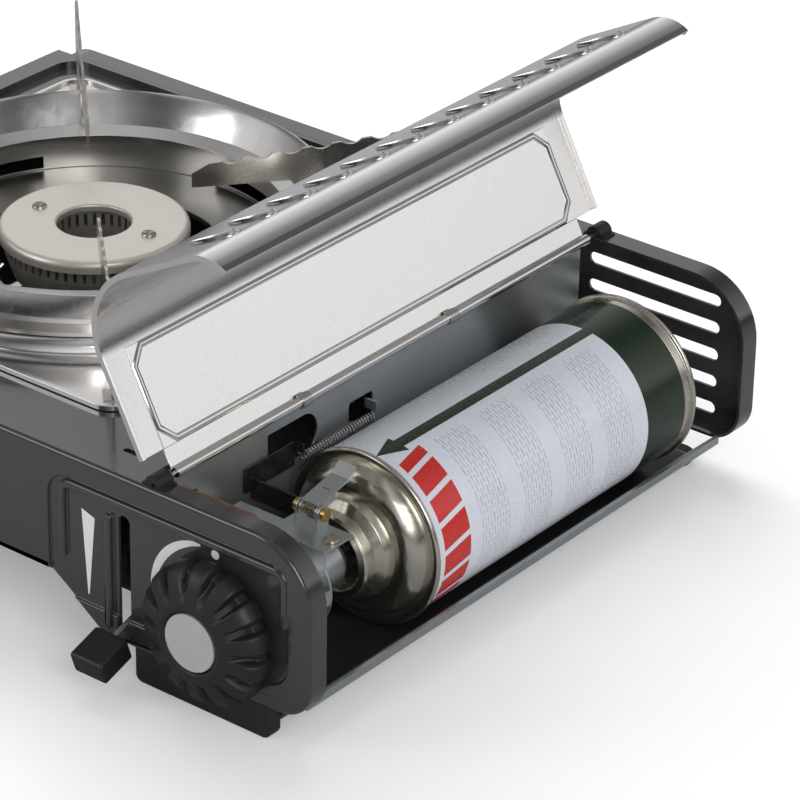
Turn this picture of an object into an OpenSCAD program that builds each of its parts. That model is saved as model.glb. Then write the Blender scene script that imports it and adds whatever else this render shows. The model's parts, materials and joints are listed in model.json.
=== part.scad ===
// Butane cassette stove: enamelled body, stainless burner pan and a covered cartridge bay.
// X runs to the right, Y to the back and Z up. The origin is on the ground under the middle.

/* [Body] */
// Width of the body
body_w = 354; // [340:1:380]
// Depth of the body
body_d = 268; // [264:1:290]
// Height of the top edge
body_h = 82.4; // [81:0.2:88]
// Sheet thickness of the enamelled body
sheet = 1.2; // [0.8:0.1:1.6]
// Depth of the turned edge on the end plates
flange_d = 9; // [7:0.5:10]
// Radius of the upper corner of the end plates
corner_r = 25; // [20:1:28]
// Radius of the lower corners
foot_corner_r = 14; // [10:1:16]
// Height of the lower edge at the legs
leg_z = 15; // [13:0.5:16]
// Height of the arch between the legs
arch_z = 32.5; // [28:0.5:34]
// Depth of the step in the top plate
top_step = 3.1; // [2:0.1:4]

/* [Cartridge bay] */
// Distance from the partition to the right edge
bay_w = 77.5; // [77.3:0.1:79]
// Height of the tray floor
tray_z = 4.4; // [4:0.1:4.4]
// Distance from the tray lip to the right edge
lip_in = 8.5; // [8:0.5:12]
// Height of the tray lip
lip_z = 16.8; // [14:0.2:18]
// Thickness of the galvanised sheet
zinc_t = 0.8; // [0.6:0.1:1]
// Height of a slot in the rear plate
slot_h = 5; // [4:0.5:6]
// Slots in the rear plate
slot_count = 5; // [3:1:5]

/* [Gas cartridge] */
// Radius of the can wall
can_r = 33.2; // [32.8:0.1:33.4]
// Radius of the rolled seams
seam_r = 34.5; // [34.2:0.1:34.6]
// Distance from the can axis to the right edge
can_in = 41.5; // [41:0.1:42]
// Distance between the two seams
can_len = 158.5; // [150:0.5:165]
// Distance from the front face to the front seam
seam_in = 80; // [78:0.5:82]
// Radius of the collar
collar_r = 18.5; // [17:0.5:19]

/* [Burner] */
// Distance from the burner axis to the right edge
burner_in = 225; // [222:1:230]
// Radius of the burner cap
cap_r = 37.4; // [34:0.2:39]
// Radius of the hole in the burner cap
cap_hole_r = 14.5; // [12:0.5:16]
// Height of the burner cap
cap_z = 85.2; // [84:0.2:88]
// Outer flame ports
port_count = 60; // [40:2:64]

/* [Pan and supports] */
// Side of the square pan
pan_s = 211.6; // [206:0.2:214]
// Radius of the wind ring
ring_r = 92; // [88:0.5:94]
// Height of the wind ring
ring_z = 99.6; // [97:0.2:102]
// Height of the pan supports
support_z = 121; // [118:0.5:124]
// Distance from the burner axis to the inner tip of a support
support_in_r = 38; // [36:0.5:44]
// Thickness of a support
support_t = 1.2; // [1:0.1:2]
// Pitch of the teeth on a support
tooth_pitch = 11.6; // [9:0.2:14]

/* [Lid] */
// Distance from the hinge rod to the right edge
hinge_in = 71.7; // [71:0.1:72.5]
// Radius of the hinge rod
rod_r = 0.75; // [0.6:0.05:0.8]
// Opening angle of the lid
lid_open = 118; // [100:1:122]
// Thickness of the stainless sheet
lid_t = 0.7; // [0.5:0.1:1]
// Gap between the closed lid and the end plates
lid_gap = 0.4; // [0.3:0.1:1]
// Height of the hem at the ends of the lid
hem_h = 1.6; // [1.2:0.1:2]
// Vent slots in the lid
vent_count = 12; // [6:1:13]

/* [Controls] */
// Radius of the knob
knob_r = 27; // [24:0.5:28]
// Depth of the knob
knob_d = 14; // [12:0.5:16]
// Flutes around the knob
flute_count = 14; // [10:1:18]
// Radius of the disc on the knob
disc_r = 11; // [9:0.5:12]
// How far the lever cap stands out from the front face
lever_reach = 20; // [18:0.5:24]
// Width of the lever cap
cap_w = 15; // [12:0.5:18]

/* [Hidden] */
over = 1; // overrun of every cut
fit = 0.05; // running clearance of a pin
gap = 0.3; // clearance between loose pieces
$fn = 72;

right_x = body_w / 2;
left_x = -body_w / 2;
front_y = (lever_reach - body_d) / 2;
back_y = front_y + body_d;
part_x = right_x - bay_w;
bx = right_x - burner_in;
burner_share = 0.525;
by = front_y + body_d * burner_share;
can_x = right_x - can_in;
can_z = tray_z + gap + seam_r;
seam_y = front_y + seam_in;
hinge_x = right_x - hinge_in;
hinge_z = body_h + 2 * lid_gap;
top_z = body_h - top_step;
pan_z = top_z + gap;
floor_z = arch_z - 2;
enamel = [0.33, 0.33, 0.34];
steel = [0.78, 0.77, 0.75];
zinc = [0.68, 0.71, 0.72];
brass = [0.80, 0.64, 0.25];
black = [0.09, 0.09, 0.09];
white = [0.90, 0.91, 0.93];
grey = [0.62, 0.62, 0.62];
dull = [0.55, 0.55, 0.55];
cast = [0.42, 0.42, 0.41];
cast_light = [0.70, 0.70, 0.70];
champagne = [0.86, 0.83, 0.78];
copper = [0.72, 0.45, 0.25];
tin = [0.75, 0.72, 0.62];

function arc(x, z, r, a, b, n = 12) = [for (i = [0:n]) [x + r * cos(a + (b - a) * i / n),
    z + r * sin(a + (b - a) * i / n)]];
function bends(p, r) = concat([p[0]], [for (i = [1:len(p) - 2])
    let (u = unit(p[i - 1] - p[i]), v = unit(p[i + 1] - p[i]))
    each [for (k = [0:6]) let (t = k / 6) p[i] + r * ((1 - t) * (1 - t) * u + t * t * v)]], [p[len(p)
        - 1]]);
function flip(p) = [for (i = [len(p) - 1:-1:0]) p[i]];

// A flat shape in X and Z, made thick towards the back from y
module upright(y, t) {
    translate([0, y + t, 0]) rotate([90, 0, 0]) linear_extrude(height = t) children();
}
// A cylinder that lies along Y
module along_y(x, y, z, r, len, r2 = -1) {
    translate([x, y, z]) rotate([-90, 0, 0]) cylinder(h = len, r1 = r, r2 = r2 < 0 ? r : r2);
}
// A cylinder that lies along X
module along_x(x, y, z, r, len) {
    translate([x, y, z]) rotate([0, 90, 0]) cylinder(h = len, r = r);
}
module round_rect(x0, y0, x1, y1, r) {
    translate([x0 + r, y0]) square([x1 - x0 - 2 * r, y1 - y0]);
    translate([x0, y0 + r]) square([x1 - x0, y1 - y0 - 2 * r]);
    for (x = [x0 + r, x1 - r], y = [y0 + r, y1 - r]) translate([x, y]) circle(r);
}
// A slot with round ends between two points on a line along X or Z
module slot_x(x0, x1, z, h) {
    translate([x0, z - h / 2]) square([x1 - x0, h]);
    for (x = [x0, x1]) translate([x, z]) circle(h / 2);
}
module slot_z(x, z0, z1, w) {
    translate([x - w / 2, z0]) square([w, z1 - z0]);
    for (z = [z0, z1]) translate([x, z]) circle(w / 2);
}
// A round wire through a list of points, as one closed mesh
function unit(v) = v / norm(v);
function way(p, i) = unit(p[min(i + 1, len(p) - 1)] - p[max(i - 1, 0)]);
module wire(p, r, axis, sides = 6) {
    n = len(p);
    pts = [for (i = [0:n - 1], k = [0:sides - 1])
        let (t = way(p, i), a = unit(cross(t, axis)), b = cross(t, a))
        p[i] + r * (cos(360 * k / sides) * a + sin(360 * k / sides) * b)];
    walls = [for (i = [0:n - 2], k = [0:sides - 1])
        let (a = i * sides + k, b = i * sides + (k + 1) % sides)
        each [[a, b, a + sides], [b, b + sides, a + sides]]];
    ends = [for (k = [1:sides - 2]) each [[0, k + 1, k], [(n - 1) * sides, (n - 1) * sides + k, (n - 1)
        * sides + k + 1]]];
    polyhedron(points = pts, faces = concat(walls, ends), convexity = 6);
}

// Outline of a main panel, drawn in from its edge by i
leg_w = 95; // width of the right leg
arch_run = 25; // width of the slope beside a leg
function panel_outline(i) = concat(
    arc(right_x - corner_r, body_h - corner_r, corner_r - i, 0, 90),
    arc(left_x + corner_r / 2, body_h - corner_r / 2, corner_r / 2 - i, 90, 180),
    arc(left_x + foot_corner_r, leg_z + foot_corner_r, foot_corner_r - i, 180, 270),
    [[left_x + arch_run + i / 2, leg_z + i], [left_x + 2 * arch_run - foot_corner_r / 2 + i / 2,
        arch_z - foot_corner_r / 3 + i],
    [left_x + 2 * arch_run, arch_z + i]],
    [[right_x - leg_w - arch_run, arch_z + i], [right_x - leg_w - arch_run + foot_corner_r / 2 + i / 2,
        arch_z - foot_corner_r / 3 + i],
    [right_x - leg_w + i / 2, leg_z + i]],
    arc(right_x - foot_corner_r, leg_z + foot_corner_r, foot_corner_r - i, 270, 360));
module panel(y, t) {
    upright(y, t) polygon(panel_outline(0));
}
module panel_rim(y, depth) {
    upright(y, depth) difference() {
        polygon(panel_outline(0));
        polygon(panel_outline(sheet));
    }
}
bead_w = 3.2; // width of a raised bar
bead_out = 0.7; // height of a raised bar
field_d = 1.2; // depth of a pressed field
field_in = 10; // distance of a pressed field from the edge
lever_in = 85; // lever slot to the right edge
lever_slot_w = 5;
lever_x = right_x - lever_in;
lever_low = 21; // lowest point of the lever's way in its slot
lever_high = 62;
bead_low = 42; // lower end of the raised frame on the left
bead_right_low = 51; // and on the right
bead_top_in = 10; // its top bar to the top edge
bead_corner = 6;
spindle_r = 3;
module bead(x, z0, z1) {
    upright(front_y - bead_out, bead_out + field_d + sheet / 2) slot_z(x, z0, z1, bead_w);
}
// One raised bar that runs up, across the top and down again around the controls
module bead_frame() {
    x0 = lever_x - 6 * lever_slot_w;
    x1 = right_x - field_in;
    z1 = body_h - bead_top_in;
    upright(front_y - bead_out, bead_out + field_d + sheet / 2) {
        difference() {
            round_rect(x0, leg_z, x1, z1, bead_corner);
            round_rect(x0 + bead_w, leg_z - over, x1 - bead_w, z1 - bead_w, bead_corner - bead_w);
            translate([x0 - over, leg_z - over]) square([bead_corner + over, bead_low - leg_z + over]);
            translate([x0 - over + bead_corner, leg_z - over]) square([x1 - x0 + over,
                bead_right_low - leg_z + over]);
        }
        translate([x0 + bead_w / 2, bead_low]) circle(bead_w / 2);
        translate([x1 - bead_w / 2, bead_right_low]) circle(bead_w / 2);
    }
}
module front_panel() {
    color(enamel) difference() {
        union() {
            difference() {
                union() {
                    panel(front_y, sheet + field_d);
                    panel_rim(front_y, flange_d);
                }
                // shallow pressed fields around the controls and on the left
                upright(front_y - over, over + field_d)
                    round_rect(right_x - leg_w - arch_run, leg_z + field_in, right_x - field_in,
                        body_h - field_in + over, field_in);
                upright(front_y - over, over + field_d)
                    round_rect(left_x + field_in, arch_z + field_in, right_x - leg_w - 2 * arch_run,
                        body_h - field_in + over, field_in);
            }
            bead(lever_x - lever_slot_w - bead_w / 2, lever_low, lever_high + bead_w / 2);
            bead_frame();
        }
        upright(front_y - over, flange_d) slot_z(lever_x, lever_low - bead_w / 2,
            lever_high + bead_w / 2, lever_slot_w);
        along_y(can_x, front_y - over, can_z, spindle_r + gap, flange_d);
    }
}
rear_slot_in = 19; // slots to the right edge
rear_slot_len = 57;
rear_slot_pitch = 11.6;
rear_slot_top = 69;
module rear_panel() {
    color(enamel) difference() {
        union() {
            panel(back_y - sheet, sheet);
            panel_rim(back_y - flange_d, flange_d);
        }
        for (i = [0:slot_count - 1])
            upright(back_y - sheet - over, sheet + 2 * over)
                slot_x(right_x - rear_slot_in - rear_slot_len, right_x - rear_slot_in,
                    rear_slot_top - i * rear_slot_pitch, slot_h);
    }
}
well_r = 97; // hole under the burner
shelf_x = part_x - zinc_t;
peep_in = 20; // small oblong hole to the front face
peep_h = 2.5;
module top_shell() {
    color(enamel) difference() {
        translate([left_x + sheet + fit, front_y + flange_d + fit, arch_z])
            cube([shelf_x - left_x - sheet - 2 * fit, body_d - 2 * flange_d - 2 * fit, body_h - arch_z]);
        // hollow under the plate and behind the side wall
        translate([left_x + 2 * sheet + fit, front_y + flange_d - over, arch_z - over])
            cube([shelf_x - left_x - 3 * sheet - fit, body_d - 2 * flange_d + 2 * over,
                top_z - sheet - arch_z + over]);
        // the stepped field that the pan stands on
        translate([0, 0, top_z]) linear_extrude(height = top_step + over)
            round_rect(left_x + field_in + sheet, front_y + flange_d + 2 * sheet, shelf_x - field_in,
                back_y - flange_d - 2 * sheet, field_in);
        translate([bx, by, top_z - sheet - over]) cylinder(h = sheet + 2 * over, r = well_r);
        translate([0, front_y + peep_in, top_z - sheet - over]) linear_extrude(height = sheet + 2 * over)
            slot_x(lever_x - field_in - lever_slot_w, lever_x - field_in + lever_slot_w, 0, peep_h);
        // clears the shelf of the partition
        translate([shelf_x - field_in, front_y, arch_z - over]) cube([field_in + over, body_d,
            body_h - arch_z - 2 * sheet + over]);
    }
}
plate_screw_r = 2;
plate_head_h = 1.4;
module plate_screw_places() {
    for (x = [left_x + 2 * field_in, shelf_x - 2 * field_in], y = [front_y + 2 * field_in,
        back_y - 2 * field_in])
        translate([x, y, floor_z]) children();
}
vent_half = 20; // half the length of a vent in the bottom plate
vent_step = 20; // pitch of these vents
slot_edge = 12; // height of the edge that is turned down beside the lever slot
module bottom_plate() {
    len = body_d - 2 * flange_d - 2 * gap;
    color(zinc) difference() {
        union() {
            translate([left_x + 2 * sheet + gap, front_y + flange_d + gap, floor_z])
                cube([shelf_x - left_x - 2 * sheet - 2 * gap, len, zinc_t]);
            // turned edge that stands inside the left wall
            translate([left_x + 2 * sheet + gap, front_y + flange_d + gap, floor_z]) cube([zinc_t, len,
                field_in]);
            // edge turned down beside the lever slot
            translate([lever_x - lever_slot_w / 2 - zinc_t, front_y + flange_d + gap,
                floor_z - slot_edge]) cube([zinc_t, pivot_in * 0.6, slot_edge + zinc_t]);
        }
        plate_screw_places() translate([0, 0, -over]) cylinder(h = zinc_t + 2 * over,
            r = plate_screw_r + gap);
        // slot for the lever
        translate([lever_x - lever_slot_w / 2, front_y, floor_z - over]) cube([lever_slot_w,
            pivot_in * 0.75, zinc_t + 2 * over]);
        for (i = [-3:3]) translate([0, 0, floor_z - over]) linear_extrude(height = zinc_t + 2 * over)
            translate([bx + i * vent_step, by]) slot_z(0, -vent_half, vent_half, slot_h);
    }
}
module bottom_screws() {
    color(zinc) plate_screw_places() {
        translate([0, 0, -plate_head_h]) cylinder(h = plate_head_h, r = 2 * plate_screw_r);
        cylinder(h = field_in, r = plate_screw_r);
    }
}
slope_run = 14; // width of the tray's sloping side
module cartridge_tray() {
    y0 = front_y + flange_d + gap;
    x1 = right_x - lip_in;
    z1 = tray_z - zinc_t;
    color(black) difference() {
        // floor, sloping side and turned lip in one profile
        upright(y0, body_d - 2 * flange_d - 2 * gap) polygon([[part_x, z1], [x1 - slope_run, z1],
            [x1 - 2 * zinc_t, lip_z - 2 * zinc_t],
            [x1 - zinc_t, lip_z - zinc_t], [x1 - zinc_t, lip_z - lip_h], [x1, lip_z - lip_h], [x1, lip_z],
            [x1 - 2 * zinc_t, lip_z], [x1 - 3 * zinc_t, lip_z - zinc_t], [x1 - slope_run - zinc_t / 2,
                tray_z], [part_x, tray_z]]);
        // drain slots in the floor
        for (i = [1:4]) translate([0, seam_y + can_len * i / 5, z1 - over])
            linear_extrude(height = zinc_t + 2 * over)
            slot_x(can_x - slot_h, can_x + slot_h, 0, slot_h / 2);
    }
}
lip_h = 3.2; // height of the tray lip's turned edge
window_y = 70; // windows in the partition, from the front face
window_z = 56;
window_w = 20;
window_h = 16;
window2_y = 116;
window2_z = 53;
window2_w = 14;
window2_h = 13;
module partition() {
    y0 = front_y + flange_d + gap;
    len = body_d - 2 * flange_d - 2 * gap;
    color(zinc) difference() {
        union() {
            translate([shelf_x, y0, tray_z - zinc_t]) cube([zinc_t, len,
                body_h - sheet - gap - tray_z + zinc_t]);
            // shelf under the edge of the top plate
            translate([shelf_x - field_in + gap, y0, body_h - 2 * sheet - zinc_t]) cube([field_in, len,
                zinc_t]);
        }
        translate([shelf_x - over, 0, 0]) rotate([90, 0, 90]) linear_extrude(height = zinc_t + 2 * over) {
            // a round-ended window, a square one and the slot for the carriage's pin
            translate([front_y + window_y, window_z]) square([window_w, window_h]);
            translate([front_y + window_y + window_w, window_z + window_h / 2]) circle(window_h / 2);
            round_rect(front_y + window2_y, window2_z, front_y + window2_y + window2_w,
                window2_z + window2_h, bead_w / 2);
            slot_x(drive_y - over, drive_y + car_travel + over, drive_z, 2 * drive_r + 4 * gap);
        }
        along_x(shelf_x - over, front_y + pivot_in, pivot_z, pin_r, zinc_t + 2 * over);
        along_x(shelf_x - over, front_y + pipe_in, pipe_z, pipe_r + gap, zinc_t + 2 * over);
    }
    color(zinc) translate([part_x, coil_y1 - coil_wire - gap - zinc_t, coil_z + coil_r + coil_wire + gap])
        cube([coil_x + hook_w - part_x, zinc_t, hook_h]);
}
foot_in = 82; // front foot bar to the right edge
foot_w = 62;
foot_left_w = 20;
foot_edge_r = 3.2;
module front_feet() {
    t = flange_d - 2 * sheet;
    color(enamel) for (f = [[right_x - foot_in, foot_w], [left_x + foot_corner_r / 2, foot_left_w]])
        intersection() {
            upright(front_y + 2 * sheet, t) round_rect(f[0], 0, f[0] + f[1], leg_z + foot_corner_r,
                foot_edge_r);
            translate([f[0] - over, front_y, 0]) cube([f[1] + 2 * over, flange_d, leg_z]);
        }
}
foot_r = 8;
foot_low_r = 6.8;
module rubber_feet() {
    color(black) for (f = [[right_x - 2 * foot_corner_r, tray_z - zinc_t], [left_x + 1.4 * foot_corner_r,
        leg_z]])
        translate([f[0], back_y - foot_r - 2 * sheet, 0]) cylinder(h = f[1], r1 = foot_low_r, r2 = foot_r);
}

ring_wall = 0.8; // sheet of the wind ring
ledge_w = 8; // step outside the ring
ledge_r = ring_r + ledge_w;
skirt_out = 12; // swelling under the ring, out from the ring
skirt_r = ring_r + skirt_out;
curve_w = 3;
swell_in = 4;
pan_bead = 1;
pan_corner = 10;
skirt_h = skirt_r - ledge_r + curve_w;
module drip_pan() {
    r0 = ring_r - swell_in;
    a = pan_s / 2;
    color(steel) difference() {
        union() {
            translate([0, 0, pan_z]) linear_extrude(height = ring_wall) round_rect(bx - a, by - a,
                bx + a, by + a, pan_corner);
            // rolled edge
            translate([0, 0, pan_z]) linear_extrude(height = 2 * pan_bead) difference() {
                round_rect(bx - a, by - a, bx + a, by + a, pan_corner);
                round_rect(bx - a + 2 * pan_bead, by - a + 2 * pan_bead, bx + a - 2 * pan_bead,
                    by + a - 2 * pan_bead, pan_corner - 2 * pan_bead);
            }
            // swelling that carries the wind ring
            translate([bx, by, pan_z]) rotate_extrude($fn = 144) difference() {
                polygon(concat([[r0, 0]], [[skirt_r, 0]], arc(ledge_r - curve_w, 0, skirt_h, 15, 90, 6),
                    [[r0, skirt_h]]));
                polygon(concat([[r0 - over, -over]], [[skirt_r - 1.5 * ring_wall, -over]],
                    arc(ledge_r - curve_w, 0, skirt_h - ring_wall, 5, 90, 6), [[r0 - over,
                        skirt_h - ring_wall]]));
            }
        }
        translate([bx, by, pan_z - over]) cylinder(h = ring_wall + over + fit, r = r0 + fit, $fn = 144);
    }
}
wall_in = 16; // slotted wall inside the ring
slope_in = 10; // foot of the ring's inner slope
inner_r = ring_r - wall_in;
cone_r = ring_r - slope_in;
opening_count = 4;
opening_a = 148; // direction of one opening's start
opening_span = 34;
opening_h = 5;
dish_drop = 7; // the dish sits this far under the pan
dish_z = pan_z - dish_drop;
module wind_ring() {
    z0 = pan_z + skirt_h;
    w = ring_wall;
    color(steel) difference() {
        // outer wall, rolled rim, inner slope, ledge and slotted wall
        translate([bx, by, 0]) rotate_extrude($fn = 144)
            polygon([[ledge_r, z0], [ledge_r, z0 + w], [ring_r + w, z0 + w], [ring_r, ring_z - w],
                [ring_r - 2 * w, ring_z],
                [ring_r - 3 * w, ring_z - w], [cone_r, z0 + 2 * w], [inner_r, z0], [inner_r, dish_z],
                    [inner_r - 3 * w, dish_z - w],
                [inner_r - 3 * w, dish_z], [inner_r - w, dish_z], [inner_r - w, z0 + w / 2],
                    [cone_r - w / 2, z0 + 3 * w],
                [ring_r - 4 * w, ring_z - w / 2], [ring_r - 2 * w, ring_z + w], [ring_r + w / 2,
                    ring_z - w / 2],
                [ring_r + 2 * w, z0 + 2 * w], [ledge_r + w, z0 + 2 * w], [ledge_r + w, z0]]);
        // air openings beside bridging tabs
        for (i = [0:opening_count - 1]) translate([bx, by, dish_z + 2 * w]) rotate([0, 0,
            opening_a + i * 360 / opening_count])
            rotate_extrude(angle = opening_span, $fn = 96)
                translate([inner_r - 2 * w, 0]) square([3 * w, opening_h]);
    }
}
dish_hole_r = 50;
module burner_dish() {
    w = ring_wall;
    color(dull) translate([bx, by, 0]) rotate_extrude($fn = 144)
        polygon([[inner_r - w - gap, dish_z + fit], [inner_r - w - gap, dish_z + w], [inner_r - 4 * w,
            dish_z + w],
            [dish_hole_r + w, dish_z - 2 * w], [dish_hole_r + w, dish_z], [dish_hole_r, dish_z],
            [dish_hole_r, dish_z - 3 * w], [inner_r - 3.5 * w, dish_z + fit]]);
}
support_out_r = 140; // reach of a pan support
support_low = pan_z + ring_wall;
tip_low = 98; // underside of the inner tip
tip_h = 6;
tip_run = 7;
tip_rise = 4;
tooth_h = 1.5;
leg_in = 9; // width of a support's leg
leg_cut = 13;
leg_drop = 4;
crest_in = 5; // highest point of a support to its outer edge
weld_w = 7;
module support(turn) {
    r1 = support_in_r + tip_run;
    r2 = support_out_r - crest_in;
    z1 = tip_low + tip_h + tip_rise;
    rise = support_z - z1;
    rest_z = ring_z + 2 * ring_wall + over;
    teeth = floor((r2 - r1 - tooth_pitch) / tooth_pitch);
    color(steel) translate([bx, by, 0]) rotate([0, 0, turn]) {
        translate([0, support_t / 2, 0]) rotate([90, 0, 0]) linear_extrude(height = support_t)
            difference() {
            polygon([[support_in_r, tip_low], [support_in_r, tip_low + tip_h], [r1, z1], [r2, support_z],
                [support_out_r, support_z - leg_drop], [support_out_r, support_low],
                    [support_out_r - leg_in, support_low],
                [support_out_r - leg_cut, tip_low], [ledge_r + ledge_w, rest_z], [ring_r - tip_h,
                    rest_z], [ring_r - 2 * tip_h, tip_low + 2 * over]]);
            for (i = [0:teeth]) translate([r1 + tooth_pitch * (i + 0.7),
                z1 + rise * tooth_pitch * (i + 0.7) / (r2 - r1) + 3 * tooth_h])
                circle(4 * tooth_h, $fn = 32);
        }
        // foot that is spot-welded to the corner of the pan
        translate([support_out_r - leg_in, -weld_w / 2, support_low]) cube([leg_in, weld_w, ring_wall]);
    }
}
module support_front_left() { support(-135); }
module support_front_right() { support(-45); }
module support_rear_left() { support(135); }
module support_rear_right() { support(45); }

cap_t = 1.8; // sheet of the burner cap
cap_edge = 5; // depth of the cap's turned edge
cap_lip = 3; // depth of the cap's inner edge
cap_round = 2.5;
cap_wall = 0.8;
head_h = 11; // height of the flame ports' ring under the cap
head_low = 9;
head_wall = 3;
head_in = 1.5;
port_ring_r = cap_r - head_in;
head_z = cap_z - head_h;
neck_r = 13;
base_w = 9;
base_t = 2;
port_w = 1.4;
port_h = 5.2;
cap_screw_r = 1.5;
screw_pcr = (cap_r + cap_hole_r) / 2 - over;
screw_angles = [10, 190];
tube_z = 50; // axis of the mixing tube
tube_r = 9;
tube_wall = 3;
strut_t = 2;
module burner_body() {
    z1 = cap_z - cap_t - fit;
    ri = cap_hole_r + strut_t;
    color(cast) difference() {
        union() {
            translate([bx, by, 0]) rotate_extrude($fn = 96)
                polygon([[ri, head_z - head_low], [port_ring_r - head_wall - over, head_z - head_low],
                    [port_ring_r - over, head_z],
                    [port_ring_r - over, z1], [port_ring_r - head_wall - over, z1],
                        [port_ring_r - head_wall - over, head_z],
                    [ri + head_wall, head_z], [ri + head_wall, z1], [ri, z1]]);
            // neck and base, tied to the head by struts
            translate([bx, by, floor_z + zinc_t]) cylinder(h = head_z - head_h - floor_z - zinc_t,
                r = neck_r);
            translate([bx, by, floor_z + zinc_t]) cylinder(h = base_t, r = neck_r + base_w);
            for (a = [45:90:315]) translate([bx, by, head_z - neck_r - head_low]) rotate([0, 0, a])
                translate([neck_r - over, -strut_t / 2, 0]) cube([neck_r, strut_t, neck_r + over]);
        }
        for (i = [0:port_count - 1]) translate([bx, by, head_z + over]) rotate([0, 0, i * 360 / port_count])
            translate([port_ring_r - 2 * head_wall, -port_w / 2, 0]) cube([3 * head_wall, port_w, port_h]);
        for (i = [0:port_count / 2 - 1]) translate([bx, by, head_z + over]) rotate([0, 0,
            i * 720 / port_count])
            translate([ri - over, -port_w / 2, 0]) cube([head_wall + 2 * over, port_w, port_h]);
        along_x(bx + neck_r - tube_mouth, by, tube_z, tube_r - tube_fit, neck_r);
        for (a = screw_angles) translate([bx, by, 0]) rotate([0, 0, a]) translate([screw_pcr, 0,
            head_z - head_h - over])
            cylinder(h = head_h + tube_wall + over, r = cap_screw_r, $fn = 24);
    }
}
tube_mouth = 5; // the tube goes this far into the burner
tube_fit = 1.5;
sink_d = 0.8; // depth of the seat for a screw head
sink_r = 5.1;
head_over = 0.1;
module burner_cap() {
    z2 = cap_z - cap_round;
    color(champagne) difference() {
        translate([bx, by, 0]) rotate_extrude($fn = 144)
            polygon(concat([[cap_hole_r, cap_z - cap_lip], [cap_hole_r, cap_z - over]],
                arc(cap_hole_r + over, cap_z - over, over, 180, 90, 3),
                arc(cap_r - cap_round, z2, cap_round, 90, 0, 5),
                [[cap_r, cap_z - cap_edge], [cap_r - cap_wall, cap_z - cap_edge], [cap_r - cap_wall,
                    cap_z - cap_t],
                [cap_hole_r + cap_wall, cap_z - cap_t], [cap_hole_r + cap_wall, cap_z - cap_lip]]));
        for (a = screw_angles) translate([bx, by, 0]) rotate([0, 0, a]) translate([screw_pcr, 0,
            cap_z - cap_lip]) {
            cylinder(h = 2 * cap_lip, r = cap_screw_r + fit, $fn = 24);
            translate([0, 0, cap_lip - sink_d]) cylinder(h = cap_lip, r1 = cap_screw_r, r2 = sink_r,
                $fn = 32);
        }
    }
}
module cap_screws() {
    color(steel) for (a = screw_angles) translate([bx, by, 0]) rotate([0, 0, a]) translate([screw_pcr, 0,
        0]) {
        translate([0, 0, head_z - head_h]) cylinder(h = cap_z - head_z + head_h - sink_d + head_over,
            r = cap_screw_r - fit / 2, $fn = 24);
        translate([0, 0, cap_z - sink_d]) cylinder(h = sink_d + head_over, r1 = cap_screw_r,
            r2 = cap_screw_r * 1.7, $fn = 32);
    }
}
jet_back = 36; // gas jet to the partition
jet_x = shelf_x - jet_back;
jet_gap = 8;
collar_t = 6;
tube_stand = 4;
bell_in = 22; // bell of the tube to the jet
bell_out = 2;
module mixing_tube() {
    x0 = bx + neck_r - tube_mouth + fit;
    len = jet_x - jet_gap - x0;
    color(cast_light) difference() {
        union() {
            along_x(x0, by, tube_z, tube_r - tube_fit - fit, len);
            along_x(bx + neck_r + jet_gap, by, tube_z, tube_r, collar_t);
            along_x(jet_x - bell_in, by, tube_z, tube_r + bell_out, 2 * collar_t);
            translate([jet_x - bell_in + bell_out, by - tube_r, floor_z + zinc_t]) cube([tube_stand,
                2 * tube_r, tube_z - floor_z - zinc_t - tube_wall]);
        }
        along_x(x0 - over, by, tube_z, tube_r - tube_wall, len + 2 * over);
    }
}
jet_r = 2;
nut_r = 5;
jet_len = 14; // from the jet's seat to its pipe end
module gas_jet() {
    color(brass) {
        along_x(jet_x - collar_t, by, tube_z, jet_r, collar_t + jet_r);
        translate([jet_x + jet_r, by, tube_z]) rotate([0, 90, 0]) cylinder(h = collar_t, r = nut_r,
            $fn = 6);
        along_x(jet_x + jet_r + collar_t - over, by, tube_z, tube_wall, jet_len - jet_r - collar_t + over);
        translate([jet_x + tube_wall, by - tube_stand, floor_z + zinc_t]) cube([tube_stand,
            2 * tube_stand, tube_z - floor_z - zinc_t - tube_stand]);
    }
}
pipe_r = 2;
pipe_z = 65; // height of the pipe's upper run
pipe_in = 30; // that run to the front face
pipe_bend = 4;
boss_in = 7; // pipe boss to the regulator's axis
boss_r = 3.5;
boss_low = 11;
boss_h = 8.5;
skew = [0.35, 0.25, 0.9];
module gas_pipe() {
    x0 = jet_x + jet_len;
    x1 = x0 + 1.5 * pipe_bend;
    y1 = front_y + pipe_in;
    color(copper) wire(bends([[x0, by, tube_z], [x1, by, tube_z], [x1, by, pipe_z], [x1, y1, pipe_z],
        [can_x - boss_in, y1, pipe_z], [can_x - boss_in, y1, can_z + boss_low + boss_h]], pipe_bend),
            pipe_r, skew, 12);
}
el_a = -110; // direction of the electrode from the burner
el_off = 5;
el_r = cap_r + el_off;
el_x = bx + el_r * cos(el_a);
el_y = by + el_r * sin(el_a);
el_len = 24;
el_tip = 3;
el_wire = 0.8;
el_bend = 1;
el_up = 2; // rise of the electrode's tip
module electrode() {
    tip = [el_x - el_tip * cos(el_a), el_y - el_tip * sin(el_a), head_z + el_up];
    color(steel) wire(bends([[el_x, el_y, head_z - el_len], [el_x, el_y, head_z], tip], el_bend),
        el_wire, [sin(el_a), -cos(el_a), 0], 10);
}
ins_r = 5;
ins_in_r = 3.6;
ins_top_r = 2.6;
ins_floor = 8;
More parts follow.
